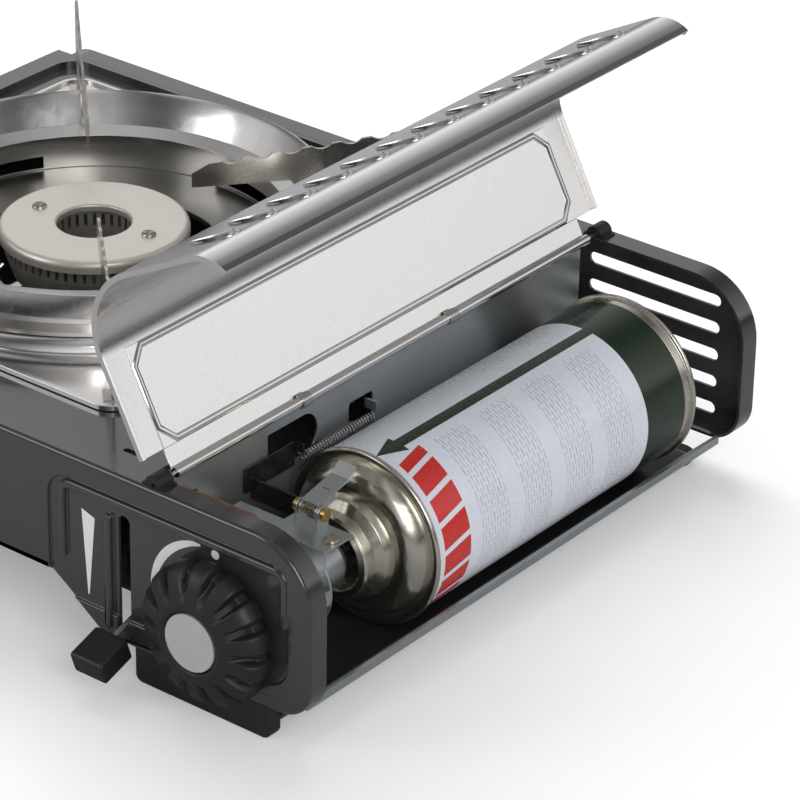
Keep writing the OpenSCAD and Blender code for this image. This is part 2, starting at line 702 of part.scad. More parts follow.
module electrode_insulator() {
    z0 = floor_z + zinc_t;
    color("white") difference() {
        translate([el_x, el_y, 0]) rotate_extrude($fn = 48)
            polygon([[el_wire + fit, z0 + ins_floor], [ins_in_r, z0 + ins_floor], [ins_in_r, z0], [ins_r,
                z0], [ins_r, head_z - el_len + 2 * over],
                [ins_top_r + over / 2, head_z - el_len + 4 * over], [ins_top_r, head_z - 2 * el_tip],
                    [el_wire + fit, head_z - el_tip - over]]);
        along_y(el_x, el_y - 2 * ins_r, lead_z, lead_r + gap, 2 * ins_r);
    }
}
lead_in = 34; // cable run to the front face
lead_r = 1.2;
lead_up = 2;
lead_y = front_y + lead_in;
lead_z = floor_z + zinc_t + lead_up;
case_back = 50; // igniter to the partition
case_w = 12;
case_len = 24;
case_h = 16;
case_head = 18;
plug_r = 4;
plug_len = 8;
plug_up = 7;
module igniter_lead() {
    color(black) wire(bends([[el_x, el_y, floor_z + zinc_t + ins_floor - fit], [el_x, el_y, lead_z],
        [el_x, lead_y, lead_z],
        [shelf_x - case_back, lead_y, lead_z]], lead_up), lead_r, skew, 8);
}
module igniter_unit() {
    x = shelf_x - case_back;
    color(black) {
        translate([x, lead_y - case_head, lead_z - lead_r]) cube([case_w, case_len, case_h]);
        along_y(x + case_w / 2, lead_y - case_head - plug_len, lead_z + plug_up, plug_r, plug_len + over);
    }
}
dome_len = 14; // length of the can's front end
cup_len = 5;
nose_y = seam_y - dome_len - cup_len - gap;
reg_r = 15; // radius of the regulator
reg_in = 12; // its front to the front face
reg_neck = 9;
reg_y = front_y + reg_in;
bracket_in = 40; // bracket to the front face
brk_y = front_y + bracket_in;
bolt_r = 3;
side_r = 8; // side boss under the cover
side_in = 14;
side_out = 3;
side_len = 10;
cover_r = 9.5;
cover_t = 3;
cover_top_r = 6;
cover_top_t = 2;
nose_r = 10; // nozzle that meets the cartridge
seal_r = 5;
seal_t = 2.6;
bore_r = 1.5;
module regulator_body() {
    color(cast_light) difference() {
        union() {
            along_y(can_x, reg_y, can_z, reg_r, brk_y - reg_y - fit);
            along_y(can_x, front_y + 3 * sheet, can_z, reg_neck, reg_y - front_y - 3 * sheet + over);
            along_x(can_x - reg_r - side_out, reg_y + side_in, can_z, side_r, side_len);
            translate([can_x - boss_in, front_y + pipe_in, can_z + boss_low]) cylinder(h = boss_h,
                r = boss_r);
            for (a = [0:60:300]) translate([can_x, reg_y + side_r, can_z]) rotate([0, a, 0])
                translate([reg_r - over, 0, 0]) rotate([-90, 0, 0]) cylinder(h = side_r, r = bolt_r,
                    $fn = 24);
        }
        along_y(can_x, front_y, can_z, spindle_r + fit, reg_y - front_y + side_r);
    }
}
module regulator_cover() {
    x = can_x - reg_r - side_out;
    color(zinc) {
        along_x(x - cover_t, reg_y + side_in, can_z, cover_r, cover_t);
        along_x(x - cover_t - cover_top_t, reg_y + side_in, can_z, cover_top_r, cover_top_t + over);
    }
}
module regulator_nose() {
    y0 = brk_y + zinc_t;
    color(cast) difference() {
        union() {
            along_y(can_x, y0, can_z, nose_r, nose_y - y0 - seal_t);
            along_y(can_x, y0, can_z, nose_r + base_t, 2 * base_t);
            along_y(can_x, nose_y - 2 * base_t, can_z, nose_r - bore_r, 2 * base_t);
        }
        along_y(can_x, nose_y - seal_t - gap, can_z, seal_r, seal_t + gap + over);
        along_y(can_x, nose_y - side_r, can_z, bore_r, side_r);
    }
}
module nose_seal() {
    color(black) difference() {
        along_y(can_x, nose_y - seal_t - gap, can_z, seal_r, seal_t);
        along_y(can_x, nose_y - seal_t - gap - over, can_z, seal_r / 2, seal_t + 2 * over);
    }
}
shelf_up = 17; // bracket shelf over the can axis
shelf_z = can_z + shelf_up;
shelf_l = 16;
shelf_w = 26;
wing_w = 20; // the bracket goes this far past its shelf on the left
wing_l = 9;
shelf_off = 11;
pin_back = 11; // flap pin behind the bracket
pin_up = 7;
pin_y = brk_y + pin_back;
pin_z = shelf_z + pin_up;
pin_r = 1.5;
pin_half = 6.2;
ear_x = 5.2;
ear_r = 3;
tab_w = 6;
screw_x = can_x + 11.5;
screw_back = 8;
screw_head_r = 3;
screw_head_h = 1.2;
screw_len = 4;
module regulator_bracket() {
    y0 = front_y + sheet + field_d;
    color(zinc) difference() {
        union() {
            along_y(can_x, brk_y, can_z, reg_r + ear_r, zinc_t);
            translate([part_x + gap, brk_y, can_z - side_r]) cube([can_x - part_x, zinc_t, 2 * side_r]);
            translate([can_x - shelf_off - wing_w, brk_y, can_z + side_r - over]) cube([shelf_w + wing_w,
                zinc_t, shelf_z - can_z - side_r + over]);
            translate([can_x - shelf_off - wing_w, brk_y, shelf_z - zinc_t]) cube([wing_w + over, wing_l,
                zinc_t]);
            translate([can_x - shelf_off, brk_y, shelf_z - zinc_t]) cube([shelf_w, shelf_l, zinc_t]);
            // two ears for the flap pin
            for (x = [can_x - ear_x, can_x + ear_x - zinc_t]) {
                translate([x, pin_y - ear_r, shelf_z - zinc_t]) cube([zinc_t, 2 * ear_r,
                    pin_z - shelf_z + zinc_t]);
                along_x(x, pin_y, pin_z, ear_r, zinc_t);
            }
            // tabs that reach forward to the front panel
            translate([can_x - tab_w / 2, y0, shelf_z - zinc_t]) cube([tab_w, brk_y - y0 + fit, zinc_t]);
            translate([can_x + reg_r + 2 * over + fit, y0, can_z - tab_w / 2]) cube([zinc_t,
                brk_y - y0 + fit, tab_w]);
        }
        along_x(can_x - pin_half, pin_y, pin_z, pin_r, 2 * pin_half);
        translate([screw_x, brk_y + screw_back, shelf_z - zinc_t - over]) cylinder(h = zinc_t + 2 * over,
            r = pin_r, $fn = 24);
        along_y(can_x, brk_y - over, can_z, spindle_r, zinc_t + 2 * over);
    }
}
module bracket_screws() {
    color(steel) translate([screw_x, brk_y + screw_back, shelf_z]) {
        cylinder(h = screw_head_h, r = screw_head_r, $fn = 32);
        translate([0, 0, -screw_len]) cylinder(h = screw_len + over / 2, r = pin_r - fit / 2, $fn = 24);
    }
}
knob_gap = 0.8; // behind the knob
knob_dip = 1.6; // recess of the knob's disc
knob_floor = 3;
spindle_out = knob_d - knob_dip - knob_floor;
module valve_spindle() {
    color(steel) along_y(can_x, front_y - knob_gap - spindle_out, can_z, spindle_r,
        spindle_out + knob_gap + reg_in + side_r / 2);
}
knob_round = 4;
flute_r = 5.4;
flute_out = 3.4;
module control_knob() {
    y = front_y - knob_gap;
    z1 = knob_d - knob_dip;
    color(black) difference() {
        translate([can_x, y, can_z]) rotate([90, 0, 0]) rotate_extrude($fn = 96)
            polygon(concat([[spindle_r + fit, 0], [knob_r, 0], [knob_r, knob_round / 2]],
                arc(knob_r - knob_round, knob_round + over, knob_round, 0, 40, 3),
                [[disc_r + 5 * over, knob_d - knob_dip], [disc_r + 3 * over, knob_d], [disc_r + over / 2,
                    knob_d], [disc_r + over / 2, z1],
                [0, z1], [0, z1 - knob_floor], [spindle_r + fit, z1 - knob_floor]]));
        for (i = [0:flute_count - 1]) translate([can_x, y, can_z]) rotate([90, 0, 0]) rotate([0, 0,
            (i + 0.5) * 360 / flute_count])
            translate([knob_r + flute_out, 0, -over]) rotate([0, -14, 0])
                cylinder(h = knob_d + knob_round, r = flute_r, $fn = 24);
    }
}
module knob_disc() {
    color(grey) along_y(can_x, front_y - knob_gap - knob_d, can_z, disc_r, knob_dip);
}
pivot_in = 66; // lever pivot to the front face
pivot_z = 42;
arm_t = 2;
arm_h = 5;
arm_out = 9; // the arm reaches this far into its cap
hub_r = 6;
crank_h = 16;
crank_w = 4;
crank_over = 3;
drive_r = 1.5;
drive_gap = 0.2;
drive_off = crank_w / 2 + drive_r + drive_gap;
arm_a = asin((pivot_z - lever_low) / pivot_in);
drive_y = front_y + pivot_in + drive_off * cos(arm_a) - crank_h * sin(arm_a);
drive_z = pivot_z + drive_off * sin(arm_a) + crank_h * cos(arm_a);
travel_share = 0.6625;
car_travel = crank_h * travel_share;
cap_back = 5;
cap_h = 9;
module lever_frame() {
    translate([lever_x, front_y + pivot_in, pivot_z]) rotate([arm_a, 0, 0]) children();
}
module lever_arm() {
    l = pivot_in / cos(arm_a);
    color(zinc) difference() {
        lever_frame() {
            translate([-arm_t / 2, -l - arm_out, -arm_h / 2]) cube([arm_t, l + arm_out, arm_h]);
            rotate([0, 90, 0]) translate([0, 0, -arm_t / 2]) cylinder(h = arm_t, r = hub_r);
            // crank that pushes the carriage's pin
            translate([-arm_t / 2, -crank_w / 2, 0]) cube([arm_t, crank_w, crank_h + crank_over]);
        }
        along_x(lever_x - arm_t, front_y + pivot_in, pivot_z, pin_r + fit, 2 * arm_t);
    }
}
module lever_cap() {
    l = pivot_in / cos(arm_a);
    color(black) difference() {
        intersection() {
            lever_frame() translate([-cap_w / 2, -l - lever_reach, -cap_h / 2]) cube([cap_w,
                lever_reach - cap_back, cap_h]);
            translate([left_x, front_y - lever_reach, 0]) cube([body_w, lever_reach, body_h]);
        }
        lever_frame() translate([-arm_t / 2 - fit, -l - arm_out - fit, -arm_h / 2 - fit])
            cube([arm_t + 2 * fit, lever_reach, arm_h + 2 * fit]);
    }
}
pivot_head = 3;
pivot_end = 0.5;
module lever_pivot() {
    x0 = lever_x - arm_t;
    color(steel) {
        along_x(x0 - over, front_y + pivot_in, pivot_z, pin_r, part_x + pivot_end - x0 + over);
        along_x(x0 - 2 * over, front_y + pivot_in, pivot_z, pivot_head, over);
    }
}
car_x = part_x + gap;
car_in = 56; // carriage to the front face
car_low = 4;
car_h = 10;
car_len = 28;
car_y = front_y + car_in;
car_z = drive_z - car_low;
claw_y = seam_y - dome_len - cup_len - gap - zinc_t;
claw_up = 11.5;
claw_in = 4;
hook_h = 4;
hook_w = 2; // a spring tab goes this far past the spring's axis
coil_r = 1.8;
coil_wire = 0.35;
coil_turns = 26;
coil_pitch = 1.5;
coil_up = 4;
coil_x = car_x + zinc_t + coil_r + coil_wire + gap;
coil_z = car_z + coil_up;
hook_y = car_y + car_len - zinc_t - gap - coil_wire;
coil_y0 = hook_y + zinc_t + 2 * gap + 2 * coil_wire + over;
coil_y1 = coil_y0 + coil_turns * coil_pitch + 2 * over;
module carriage() {
    color(black) {
        translate([car_x, car_y, car_z]) cube([zinc_t, car_len, car_h]);
        along_x(lever_x - arm_t, drive_y, drive_z, drive_r, car_x - lever_x + arm_t + zinc_t / 2);
        // claw in front of the collar
        translate([car_x, claw_y, can_z + claw_up]) cube([can_x - claw_in - car_x, zinc_t,
            car_z + car_low - can_z - claw_up + over]);
        // tab that the spring hooks on
        translate([car_x, car_y + car_len - zinc_t, coil_z + coil_r + coil_wire + gap])
            cube([coil_x + hook_w - car_x, zinc_t, hook_h]);
    }
}
lead_shares = [0.2, 0.4, 0.3];
module tension_spring() {
    x = coil_x;
    z = coil_z + coil_r;
    turns = [for (i = [0:8 * coil_turns]) let (a = 45 * i)
        [x + coil_r * cos(a + 90), coil_y0 + coil_pitch * a / 360, coil_z + coil_r * sin(a + 90)]];
    top = z + hook_h;
    path = concat([[x, hook_y, top], [x, hook_y, z + over], [x - lead_shares[0] * over,
        hook_y + lead_shares[1] * over, z + lead_shares[2] * over]], turns,
        [[x + lead_shares[0] * over, coil_y1 - lead_shares[1] * over, z + lead_shares[2] * over], [x,
            coil_y1, z + over], [x, coil_y1, top]]);
    echo(spring_gap = coil_pitch - 2 * coil_wire);
    color(steel) wire(path, coil_wire, [0.31, 0.9, 0.1]);
}
flap_a = 12;
flap_l = 17;
flap_up = 2.6;
flap_r = 2.7;
flap_cheek = 9;
flap_tip = 5;
flap_w = 8;
flap_rise = 2.4;
module safety_flap() {
    top = flap_up + zinc_t;
    color(zinc) translate([can_x, pin_y, pin_z]) rotate([flap_a, 0, 0]) difference() {
        union() {
            translate([-flap_w / 2, 0, 0]) rotate([90, 0, 90]) linear_extrude(height = flap_w)
                polygon([[0, flap_up], [flap_l, flap_up], [flap_l + flap_tip, flap_up + flap_rise],
                    [flap_l + flap_tip - gap, top + flap_rise], [flap_l - gap, top], [0, top]]);
            for (x = [-flap_w / 2, flap_w / 2 - zinc_t]) {
                translate([x, 0, 0]) cube([zinc_t, flap_cheek, flap_up + zinc_t / 2]);
                along_x(x, 0, 0, flap_r, zinc_t);
            }
        }
        along_x(-flap_w, 0, 0, pin_r + fit, 2 * flap_w);
        translate([-flap_w / 4, flap_l / 2, flap_up - over]) cube([flap_w / 2, 2 * gap, zinc_t + 2 * over]);
    }
}
rivet_r = 2.4;
rivet_t = 1.8;
module flap_pin() {
    color(brass) {
        along_x(can_x - pin_half, pin_y, pin_z, pin_r, 2 * pin_half);
        along_x(can_x - ear_x - rivet_t, pin_y, pin_z, rivet_r, rivet_t - fit);
        along_x(can_x + ear_x + fit, pin_y, pin_z, rivet_r, rivet_t);
    }
}
torsion_r = 2.1;
torsion_wire = 0.25;
torsion_pitch = 1;
torsion_turns = 5;
module flap_spring() {
    r = torsion_r;
    turns = [for (i = [0:8 * torsion_turns]) let (a = 45 * i)
        [can_x - torsion_turns * torsion_pitch / 2 + torsion_pitch * a / 360, pin_y + r * cos(a),
            pin_z + r * sin(a)]];
    n = len(turns) - 1;
    path = concat([turns[0] + [0, 0, -2 * r]], turns, [turns[n] + [0, 0, r / 2]]);
    color(copper) wire(path, torsion_wire, [1, 0, 0]);
}

// Outline of the closed lid, standing off the end plates by o, seen from its hinge rod
curl_a = -60;
curl_z = 24; // height of the axis of the lid's curled edge
function lid_line(o) = concat([[0, body_h - hinge_z + o]],
    arc(hinge_in - corner_r, body_h - corner_r - hinge_z, corner_r + o, 90, 0, 14),
    arc(hinge_in - foot_corner_r, curl_z - hinge_z, foot_corner_r + o, 0, curl_a, 7));
module lid_band(o1, o2, y, len) {
    translate([0, y + len, 0]) rotate([90, 0, 0]) linear_extrude(height = len)
        polygon(concat(lid_line(o2), flip(lid_line(o1))));
}
lid_side = 1.5; // end of the lid to the end plate's face
lid_y = front_y + lid_side;
lid_len = body_d - 2 * lid_side;
ear_len = 12;
hem_w = 1.6;
knuckle_r = hem_h + lid_t - lid_gap;
panel_in = 9;
emboss = 0.4;
drop_r = 3.4; // round end of a vent
drop_len = 18;
drop_down = 57; // round ends of the vents under the hinge axis
vent_deep = 3;
module lid() {
    o1 = lid_gap + hem_h;
    o2 = o1 + lid_t;
    step = (lid_len - 2 * ear_len) / vent_count;
    color(steel) translate([hinge_x, 0, hinge_z]) rotate([0, -lid_open, 0]) difference() {
        union() {
            lid_band(o1, o2, lid_y, lid_len);
            for (y = [lid_y, lid_y + lid_len - hem_w]) lid_band(lid_gap, o2, y, hem_w);
            along_y(0, lid_y + ear_len, 0, knuckle_r, lid_len - 2 * ear_len);
            // pressed panel on the inside
            translate([panel_in, lid_y + ear_len, body_h - hinge_z + o1 - emboss])
                cube([hinge_in - corner_r - panel_in, lid_len - 2 * ear_len, emboss + lid_t / 2]);
        }
        along_y(0, lid_y, 0, rod_r + fit, lid_len);
        for (y = [lid_y - over, lid_y + lid_len - ear_len]) translate([-knuckle_r - over, y,
            -knuckle_r - over])
            cube([knuckle_r + over + panel_in, ear_len + over, 3 * knuckle_r + over]);
        // teardrop vents along the side wall
        for (i = [0:vent_count - 1]) translate([hinge_in - vent_deep, lid_y + ear_len + step * (i + 0.5),
            0])
            rotate([0, 90, 0]) linear_extrude(height = 3 * vent_deep) {
                translate([drop_down, 0]) circle(drop_r, $fn = 32);
                polygon([[drop_down - over, drop_r * 0.95], [drop_down - over, -drop_r * 0.95],
                    [drop_down - drop_len, 0]]);
            }
    }
}
rod_end = 3;
clip_t = 0.7;
clip_w = 5;
clip_shares = [0.3, 0.62];
module hinge_rod() {
    color(steel) along_y(hinge_x, front_y + rod_end, hinge_z, rod_r, body_d - 2 * rod_end);
}
module rod_clips() {
    color(steel) for (s = clip_shares) difference() {
        along_y(hinge_x, front_y + body_d * s, hinge_z, knuckle_r + clip_t, clip_w);
        along_y(hinge_x, front_y + body_d * s - over, hinge_z, knuckle_r, clip_w + 2 * over);
        translate([hinge_x, front_y + body_d * s + clip_w / 2, hinge_z]) rotate([0, -lid_open, 0])
            translate([0, -clip_w / 2 - over, body_h - hinge_z + lid_gap + hem_h - lid_t])
                cube([panel_in, clip_w + 2 * over, panel_in]);
    }
}
post_w = 10;
post_r = 3.6;
post_d = 7;
module hinge_ear(y) {
    color(black) difference() {
        union() {
            translate([hinge_x - post_w / 2, y, body_h]) cube([post_w, post_d, hinge_z - body_h]);
            along_y(hinge_x, y, hinge_z, post_r, post_d);
        }
        along_y(hinge_x, y - over, hinge_z, rod_r, post_d + 2 * over);
        translate([hinge_x - post_w, y - over, body_h - post_w]) cube([2 * post_w, post_d + 2 * over,
            post_w]);
    }
}
module hinge_ear_front() { hinge_ear(front_y + 2 * lid_gap + over); }
module hinge_ear_rear() { hinge_ear(back_y - 2 * lid_gap - over - post_d); }

curl = 1; // step of the can's rolled and pressed outlines
can_t = 0.4; // wall of the can
bead_in = 1.7; // front end of the wall behind the seam
base_up = 4.9; // rear end of the wall before the seam
module can_shell() {
    color(white) difference() {
        along_y(can_x, seam_y + bead_in, can_z, can_r, can_len - bead_in - base_up);
        along_y(can_x, seam_y, can_z, can_r - can_t, can_len);
    }
}
// Points of the dome, out from the can's wall and along its axis
dome_shares = [[-0.086, 0.229], [-0.214, 0.171], [-0.286, 0.357], [-0.393, 0.536], [-0.571, 0.664],
    [-0.786, 0.729]];
inner_shares = [[-0.786, 0.664], [-0.614, 0.6], [-0.45, 0.5], [-0.357, 0.329]];
roll_r = 1.2;
module can_dome() {
    d = dome_len;
    color(tin) translate([can_x, seam_y + 3 * curl, can_z]) rotate([90, 0, 0]) rotate_extrude($fn = 96)
        polygon(concat([[can_r - 2.6 * curl, 0], [can_r - 2.6 * curl, 2 * curl], [can_r, 1.4 * curl]],
            arc(seam_r - roll_r, 2.2 * curl, roll_r, -90, 90, 6),
            [for (s = dome_shares) [can_r + s[0] * d, s[1] * d]],
            [[collar_r + 1.6 * curl, 0.729 * d], [collar_r + curl, d], [collar_r - 3 * curl, d + 3 * curl],
            [collar_r - 4 * curl, d + 2 * curl], [collar_r - curl / 5, d - 2.4 * curl],
                [collar_r + curl / 3, 0.664 * d]],
            [for (s = inner_shares) [can_r + s[0] * d, s[1] * d]], [[can_r - 4 * curl, 0]]));
}
module can_base() {
    color(tin) translate([can_x, seam_y + can_len, can_z]) rotate([-90, 0, 0]) rotate_extrude($fn = 96)
        polygon(concat([[can_r, -curl]], arc(seam_r - curl, curl / 5, curl, -90, 90, 6),
            [[can_r - curl, curl], [can_r - 2 * curl, -4 * curl], [0, -7 * curl], [0, -7.6 * curl],
                [can_r - 2.4 * curl, -4.8 * curl], [can_r, -4.8 * curl]]));
}
module valve_cup() {
    c = collar_r;
    color(tin) translate([can_x, seam_y - dome_len, can_z]) rotate([90, 0, 0]) rotate_extrude($fn = 96)
        polygon([[0, -2 * curl], [c - 5 * curl, -2 * curl], [c - 5 * curl, 0], [c - 2.85 * curl, 0],
            [c - 2.85 * curl, curl / 5], [c - 1.6 * curl, curl / 5],
            [c - 1.6 * curl, cup_len - 0.8 * curl], [c - 2.4 * curl, cup_len], [c - 5 * curl, cup_len],
                [c - 5.8 * curl, cup_len - curl], [c - 5.8 * curl, -curl], [0, -curl]]);
}
stem_r = 2;
stem_len = 4.6;
module valve_stem() {
    color(black) along_y(can_x, seam_y - dome_len + curl - stem_len, can_z, stem_r, stem_len);
}

top_shell();
front_panel();
rear_panel();
bottom_plate();
bottom_screws();
cartridge_tray();
partition();
front_feet();
rubber_feet();
drip_pan();
wind_ring();
burner_dish();
support_front_left();
support_front_right();
support_rear_left();
support_rear_right();
burner_body();
burner_cap();
cap_screws();
mixing_tube();
gas_jet();
gas_pipe();
electrode();
electrode_insulator();
igniter_lead();
igniter_unit();
regulator_body();
regulator_cover();
regulator_nose();
nose_seal();
regulator_bracket();
bracket_screws();
valve_spindle();
control_knob();
knob_disc();
lever_arm();
lever_cap();
lever_pivot();
carriage();
tension_spring();
safety_flap();
flap_pin();
flap_spring();
lid();
hinge_rod();
rod_clips();
hinge_ear_front();
hinge_ear_rear();
can_shell();
can_dome();
can_base();
valve_cup();
valve_stem();
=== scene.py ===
import bmesh
import bpy
import json
import math
from mathutils import Matrix, Vector


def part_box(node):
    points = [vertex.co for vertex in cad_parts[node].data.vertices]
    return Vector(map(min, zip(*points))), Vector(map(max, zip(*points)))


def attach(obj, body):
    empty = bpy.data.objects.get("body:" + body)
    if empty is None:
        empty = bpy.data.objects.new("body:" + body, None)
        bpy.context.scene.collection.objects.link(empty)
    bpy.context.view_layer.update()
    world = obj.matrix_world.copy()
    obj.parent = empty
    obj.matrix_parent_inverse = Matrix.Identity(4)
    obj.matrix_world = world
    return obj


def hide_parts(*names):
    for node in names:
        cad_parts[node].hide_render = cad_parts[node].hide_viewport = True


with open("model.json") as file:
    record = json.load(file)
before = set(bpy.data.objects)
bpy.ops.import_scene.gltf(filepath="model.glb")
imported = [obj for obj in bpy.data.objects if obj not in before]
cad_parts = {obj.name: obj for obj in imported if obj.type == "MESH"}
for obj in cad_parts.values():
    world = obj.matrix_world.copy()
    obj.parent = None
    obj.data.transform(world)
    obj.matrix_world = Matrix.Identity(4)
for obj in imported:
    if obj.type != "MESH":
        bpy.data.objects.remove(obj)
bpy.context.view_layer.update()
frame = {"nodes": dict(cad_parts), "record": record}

# Camera and studio: the photograph's own view, found from the stove's straight edges,
# over a flat white floor, with a large soft lamp above and behind, weaker ones from the
# right and the front, and a banded sky that only reflections see.
azimuth, elevation, roll = math.radians(37.97), math.radians(28.26), math.radians(1.01)
shift_left, shift_up, distance = 0.00326, 0.02672, 1.50442
target = Vector((0.117, 0.006, 0.0375))
back = Vector((math.sin(azimuth) * math.cos(elevation),
               -math.cos(azimuth) * math.cos(elevation),
               math.sin(elevation)))
side = Vector((math.cos(azimuth), math.sin(azimuth), 0.0))
upward = back.cross(side)
cam_right = math.cos(roll) * side + math.sin(roll) * upward
cam_up = -math.sin(roll) * side + math.cos(roll) * upward
camera = bpy.data.objects.new("camera", bpy.data.cameras.new("camera"))
bpy.context.collection.objects.link(camera)
camera.data.sensor_width = 36.0
camera.data.lens = 183.42
camera.data.clip_end = 20.0
place = target - cam_right * shift_left + cam_up * shift_up + back * distance
camera.matrix_world = Matrix((
    (cam_right.x, cam_up.x, back.x, place.x),
    (cam_right.y, cam_up.y, back.y, place.y),
    (cam_right.z, cam_up.z, back.z, place.z),
    (0.0, 0.0, 0.0, 1.0)))
bpy.context.scene.camera = camera
bpy.context.scene.view_settings.view_transform = "Standard"


def seen_directly(nodes, links):
    """Two sockets: 1 for rays from the camera or through glass, and 1 for reflections."""
    path = nodes.new("ShaderNodeLightPath")
    either = nodes.new("ShaderNodeMath")
    either.operation = "MAXIMUM"
    links.new(path.outputs["Is Camera Ray"], either.inputs[0])
    links.new(path.outputs["Is Transmission Ray"], either.inputs[1])
    return either.outputs[0], path.outputs["Is Glossy Ray"]


world = bpy.data.worlds.new("studio_air")
world.use_nodes = True
bpy.context.scene.world = world
wn, wl = world.node_tree.nodes, world.node_tree.links
wn.clear()
direct, mirrored = seen_directly(wn, wl)
air = wn.new("ShaderNodeBackground")
air.inputs["Color"].default_value = (0.93, 0.95, 1.0, 1.0)
air.inputs["Strength"].default_value = 0.42
white = wn.new("ShaderNodeBackground")
white.inputs["Color"].default_value = (1.0, 1.0, 1.0, 1.0)
white.inputs["Strength"].default_value = 1.0
sheen = wn.new("ShaderNodeBackground")
sky = wn.new("ShaderNodeTexCoord")
lift = wn.new("ShaderNodeSeparateXYZ")
wl.new(sky.outputs["Generated"], lift.inputs[0])
bands = wn.new("ShaderNodeValToRGB")
bands.color_ramp.interpolation = "B_SPLINE"
bands.color_ramp.elements[0].position = 0.0
bands.color_ramp.elements[0].color = (0.55, 0.55, 0.56, 1)
bands.color_ramp.elements[1].position = 1.0
bands.color_ramp.elements[1].color = (0.62, 0.63, 0.65, 1)
bands_upward = ((0.40, 0.70), (0.47, 0.30), (0.52, 0.05), (0.55, 0.10), (0.58, 0.98),
                (0.63, 1.0), (0.70, 0.70), (0.80, 0.62), (0.88, 0.28), (0.94, 0.50))
for height, grey in bands_upward:
    band = bands.color_ramp.elements.new(height)
    band.color = (grey, grey, grey * 1.02, 1)
to_ramp = wn.new("ShaderNodeMapRange")
to_ramp.inputs["From Min"].default_value = -1.0
wl.new(lift.outputs["Z"], to_ramp.inputs["Value"])
wl.new(to_ramp.outputs[0], bands.inputs["Fac"])
wl.new(bands.outputs["Color"], sheen.inputs["Color"])
compass = wn.new("ShaderNodeMath")
compass.operation = "ARCTAN2"
wl.new(lift.outputs["Y"], compass.inputs[0])
wl.new(lift.outputs["X"], compass.inputs[1])
waves_round, wave_share, mean_level = 4.0, 0.42, 0.62
cards = wn.new("ShaderNodeMath")
cards.operation = "MULTIPLY_ADD"
cards.inputs[1].default_value = waves_round
cards.inputs[2].default_value = -math.pi
wave = wn.new("ShaderNodeMath")
wave.operation = "COSINE"
level = wn.new("ShaderNodeMath")
level.operation = "MULTIPLY_ADD"
level.inputs[1].default_value = wave_share
level.inputs[2].default_value = mean_level
wl.new(compass.outputs[0], cards.inputs[0])
wl.new(cards.outputs[0], wave.inputs[0])
wl.new(wave.outputs[0], level.inputs[0])
wl.new(level.outputs[0], sheen.inputs["Strength"])
mix_a = wn.new("ShaderNodeMixShader")
mix_b = wn.new("ShaderNodeMixShader")
out = wn.new("ShaderNodeOutputWorld")
wl.new(mirrored, mix_a.inputs[0])
wl.new(air.outputs[0], mix_a.inputs[1])
wl.new(sheen.outputs[0], mix_a.inputs[2])
wl.new(direct, mix_b.inputs[0])
wl.new(mix_a.outputs[0], mix_b.inputs[1])
wl.new(white.outputs[0], mix_b.inputs[2])
wl.new(mix_b.outputs[0], out.inputs["Surface"])

floor_mesh = bpy.data.meshes.new("floor")
half = 6
floor_mesh.from_pydata([(-half, -half, 0), (half, -half, 0), (half, half, 0), (-half, half, 0)],
                       [], [(0, 1, 2, 3)])
floor = bpy.data.objects.new("floor", floor_mesh)
bpy.context.collection.objects.link(floor)
paper = bpy.data.materials.new("studio_paper")
paper.use_nodes = True
pn, pl = paper.node_tree.nodes, paper.node_tree.links
pn.clear()
direct, mirrored = seen_directly(pn, pl)
matt = pn.new("ShaderNodeBsdfDiffuse")
# The floor is light grey to the camera and to diffuse light but darker grey where reflections see it: painted
# shade in what the polished metal mirrors.
shade = pn.new("ShaderNodeMix")
shade.data_type = "RGBA"
shade.inputs["A"].default_value = (0.82, 0.82, 0.82, 1)
shade.inputs["B"].default_value = (0.40, 0.40, 0.41, 1)
pl.new(mirrored, shade.inputs["Factor"])
pl.new(shade.outputs["Result"], matt.inputs["Color"])
glow = pn.new("ShaderNodeEmission")
lit = pn.new("ShaderNodeMath")
lit.operation = "MULTIPLY"
lit.inputs[1].default_value = 0.26
pl.new(direct, lit.inputs[0])
pl.new(lit.outputs[0], glow.inputs["Strength"])
add = pn.new("ShaderNodeAddShader")
out = pn.new("ShaderNodeOutputMaterial")
pl.new(matt.outputs[0], add.inputs[0])
pl.new(glow.outputs[0], add.inputs[1])
pl.new(add.outputs[0], out.inputs["Surface"])
floor.data.materials.append(paper)

middle_of_stove = Vector((0, 0, 0.06))
for name, spot, size, watts in (("key_lamp", (-0.5, 0.55, 1.25), 1.1, 13.0),
                                ("fill_lamp", (1.25, -0.75, 0.9), 0.9, 8.0),
                                ("front_lamp", (-0.7, -1.2, 0.8), 0.7, 3.0)):
    lamp = bpy.data.objects.new(name, bpy.data.lights.new(name, "AREA"))
    lamp.data.energy = watts
    lamp.data.size = size
    lamp.location = spot
    lamp.rotation_euler = (Vector(spot) - middle_of_stove).to_track_quat("Z", "Y").to_euler()
    lamp.visible_glossy = name != "key_lamp"
    bpy.context.collection.objects.link(lamp)

# Pressed panels: the front, rear and top of the body are deep-drawn sheet steel in a
# glossy dark grey enamel with a faint orange-peel skin. The foot bars are near black.
body_of_node = {n: b for b, names in frame["record"]["behaviour"]["bodies"].items() for n in names}


def linear(*rgb):
    """A screen colour, 0 to 255 for each of its parts, as a linear colour with alpha 1."""
    return tuple(v / 255 / 12.92 if v <= 10 else ((v / 255 + 0.055) / 1.055) ** 2.4 for v in rgb) + (1.0,)


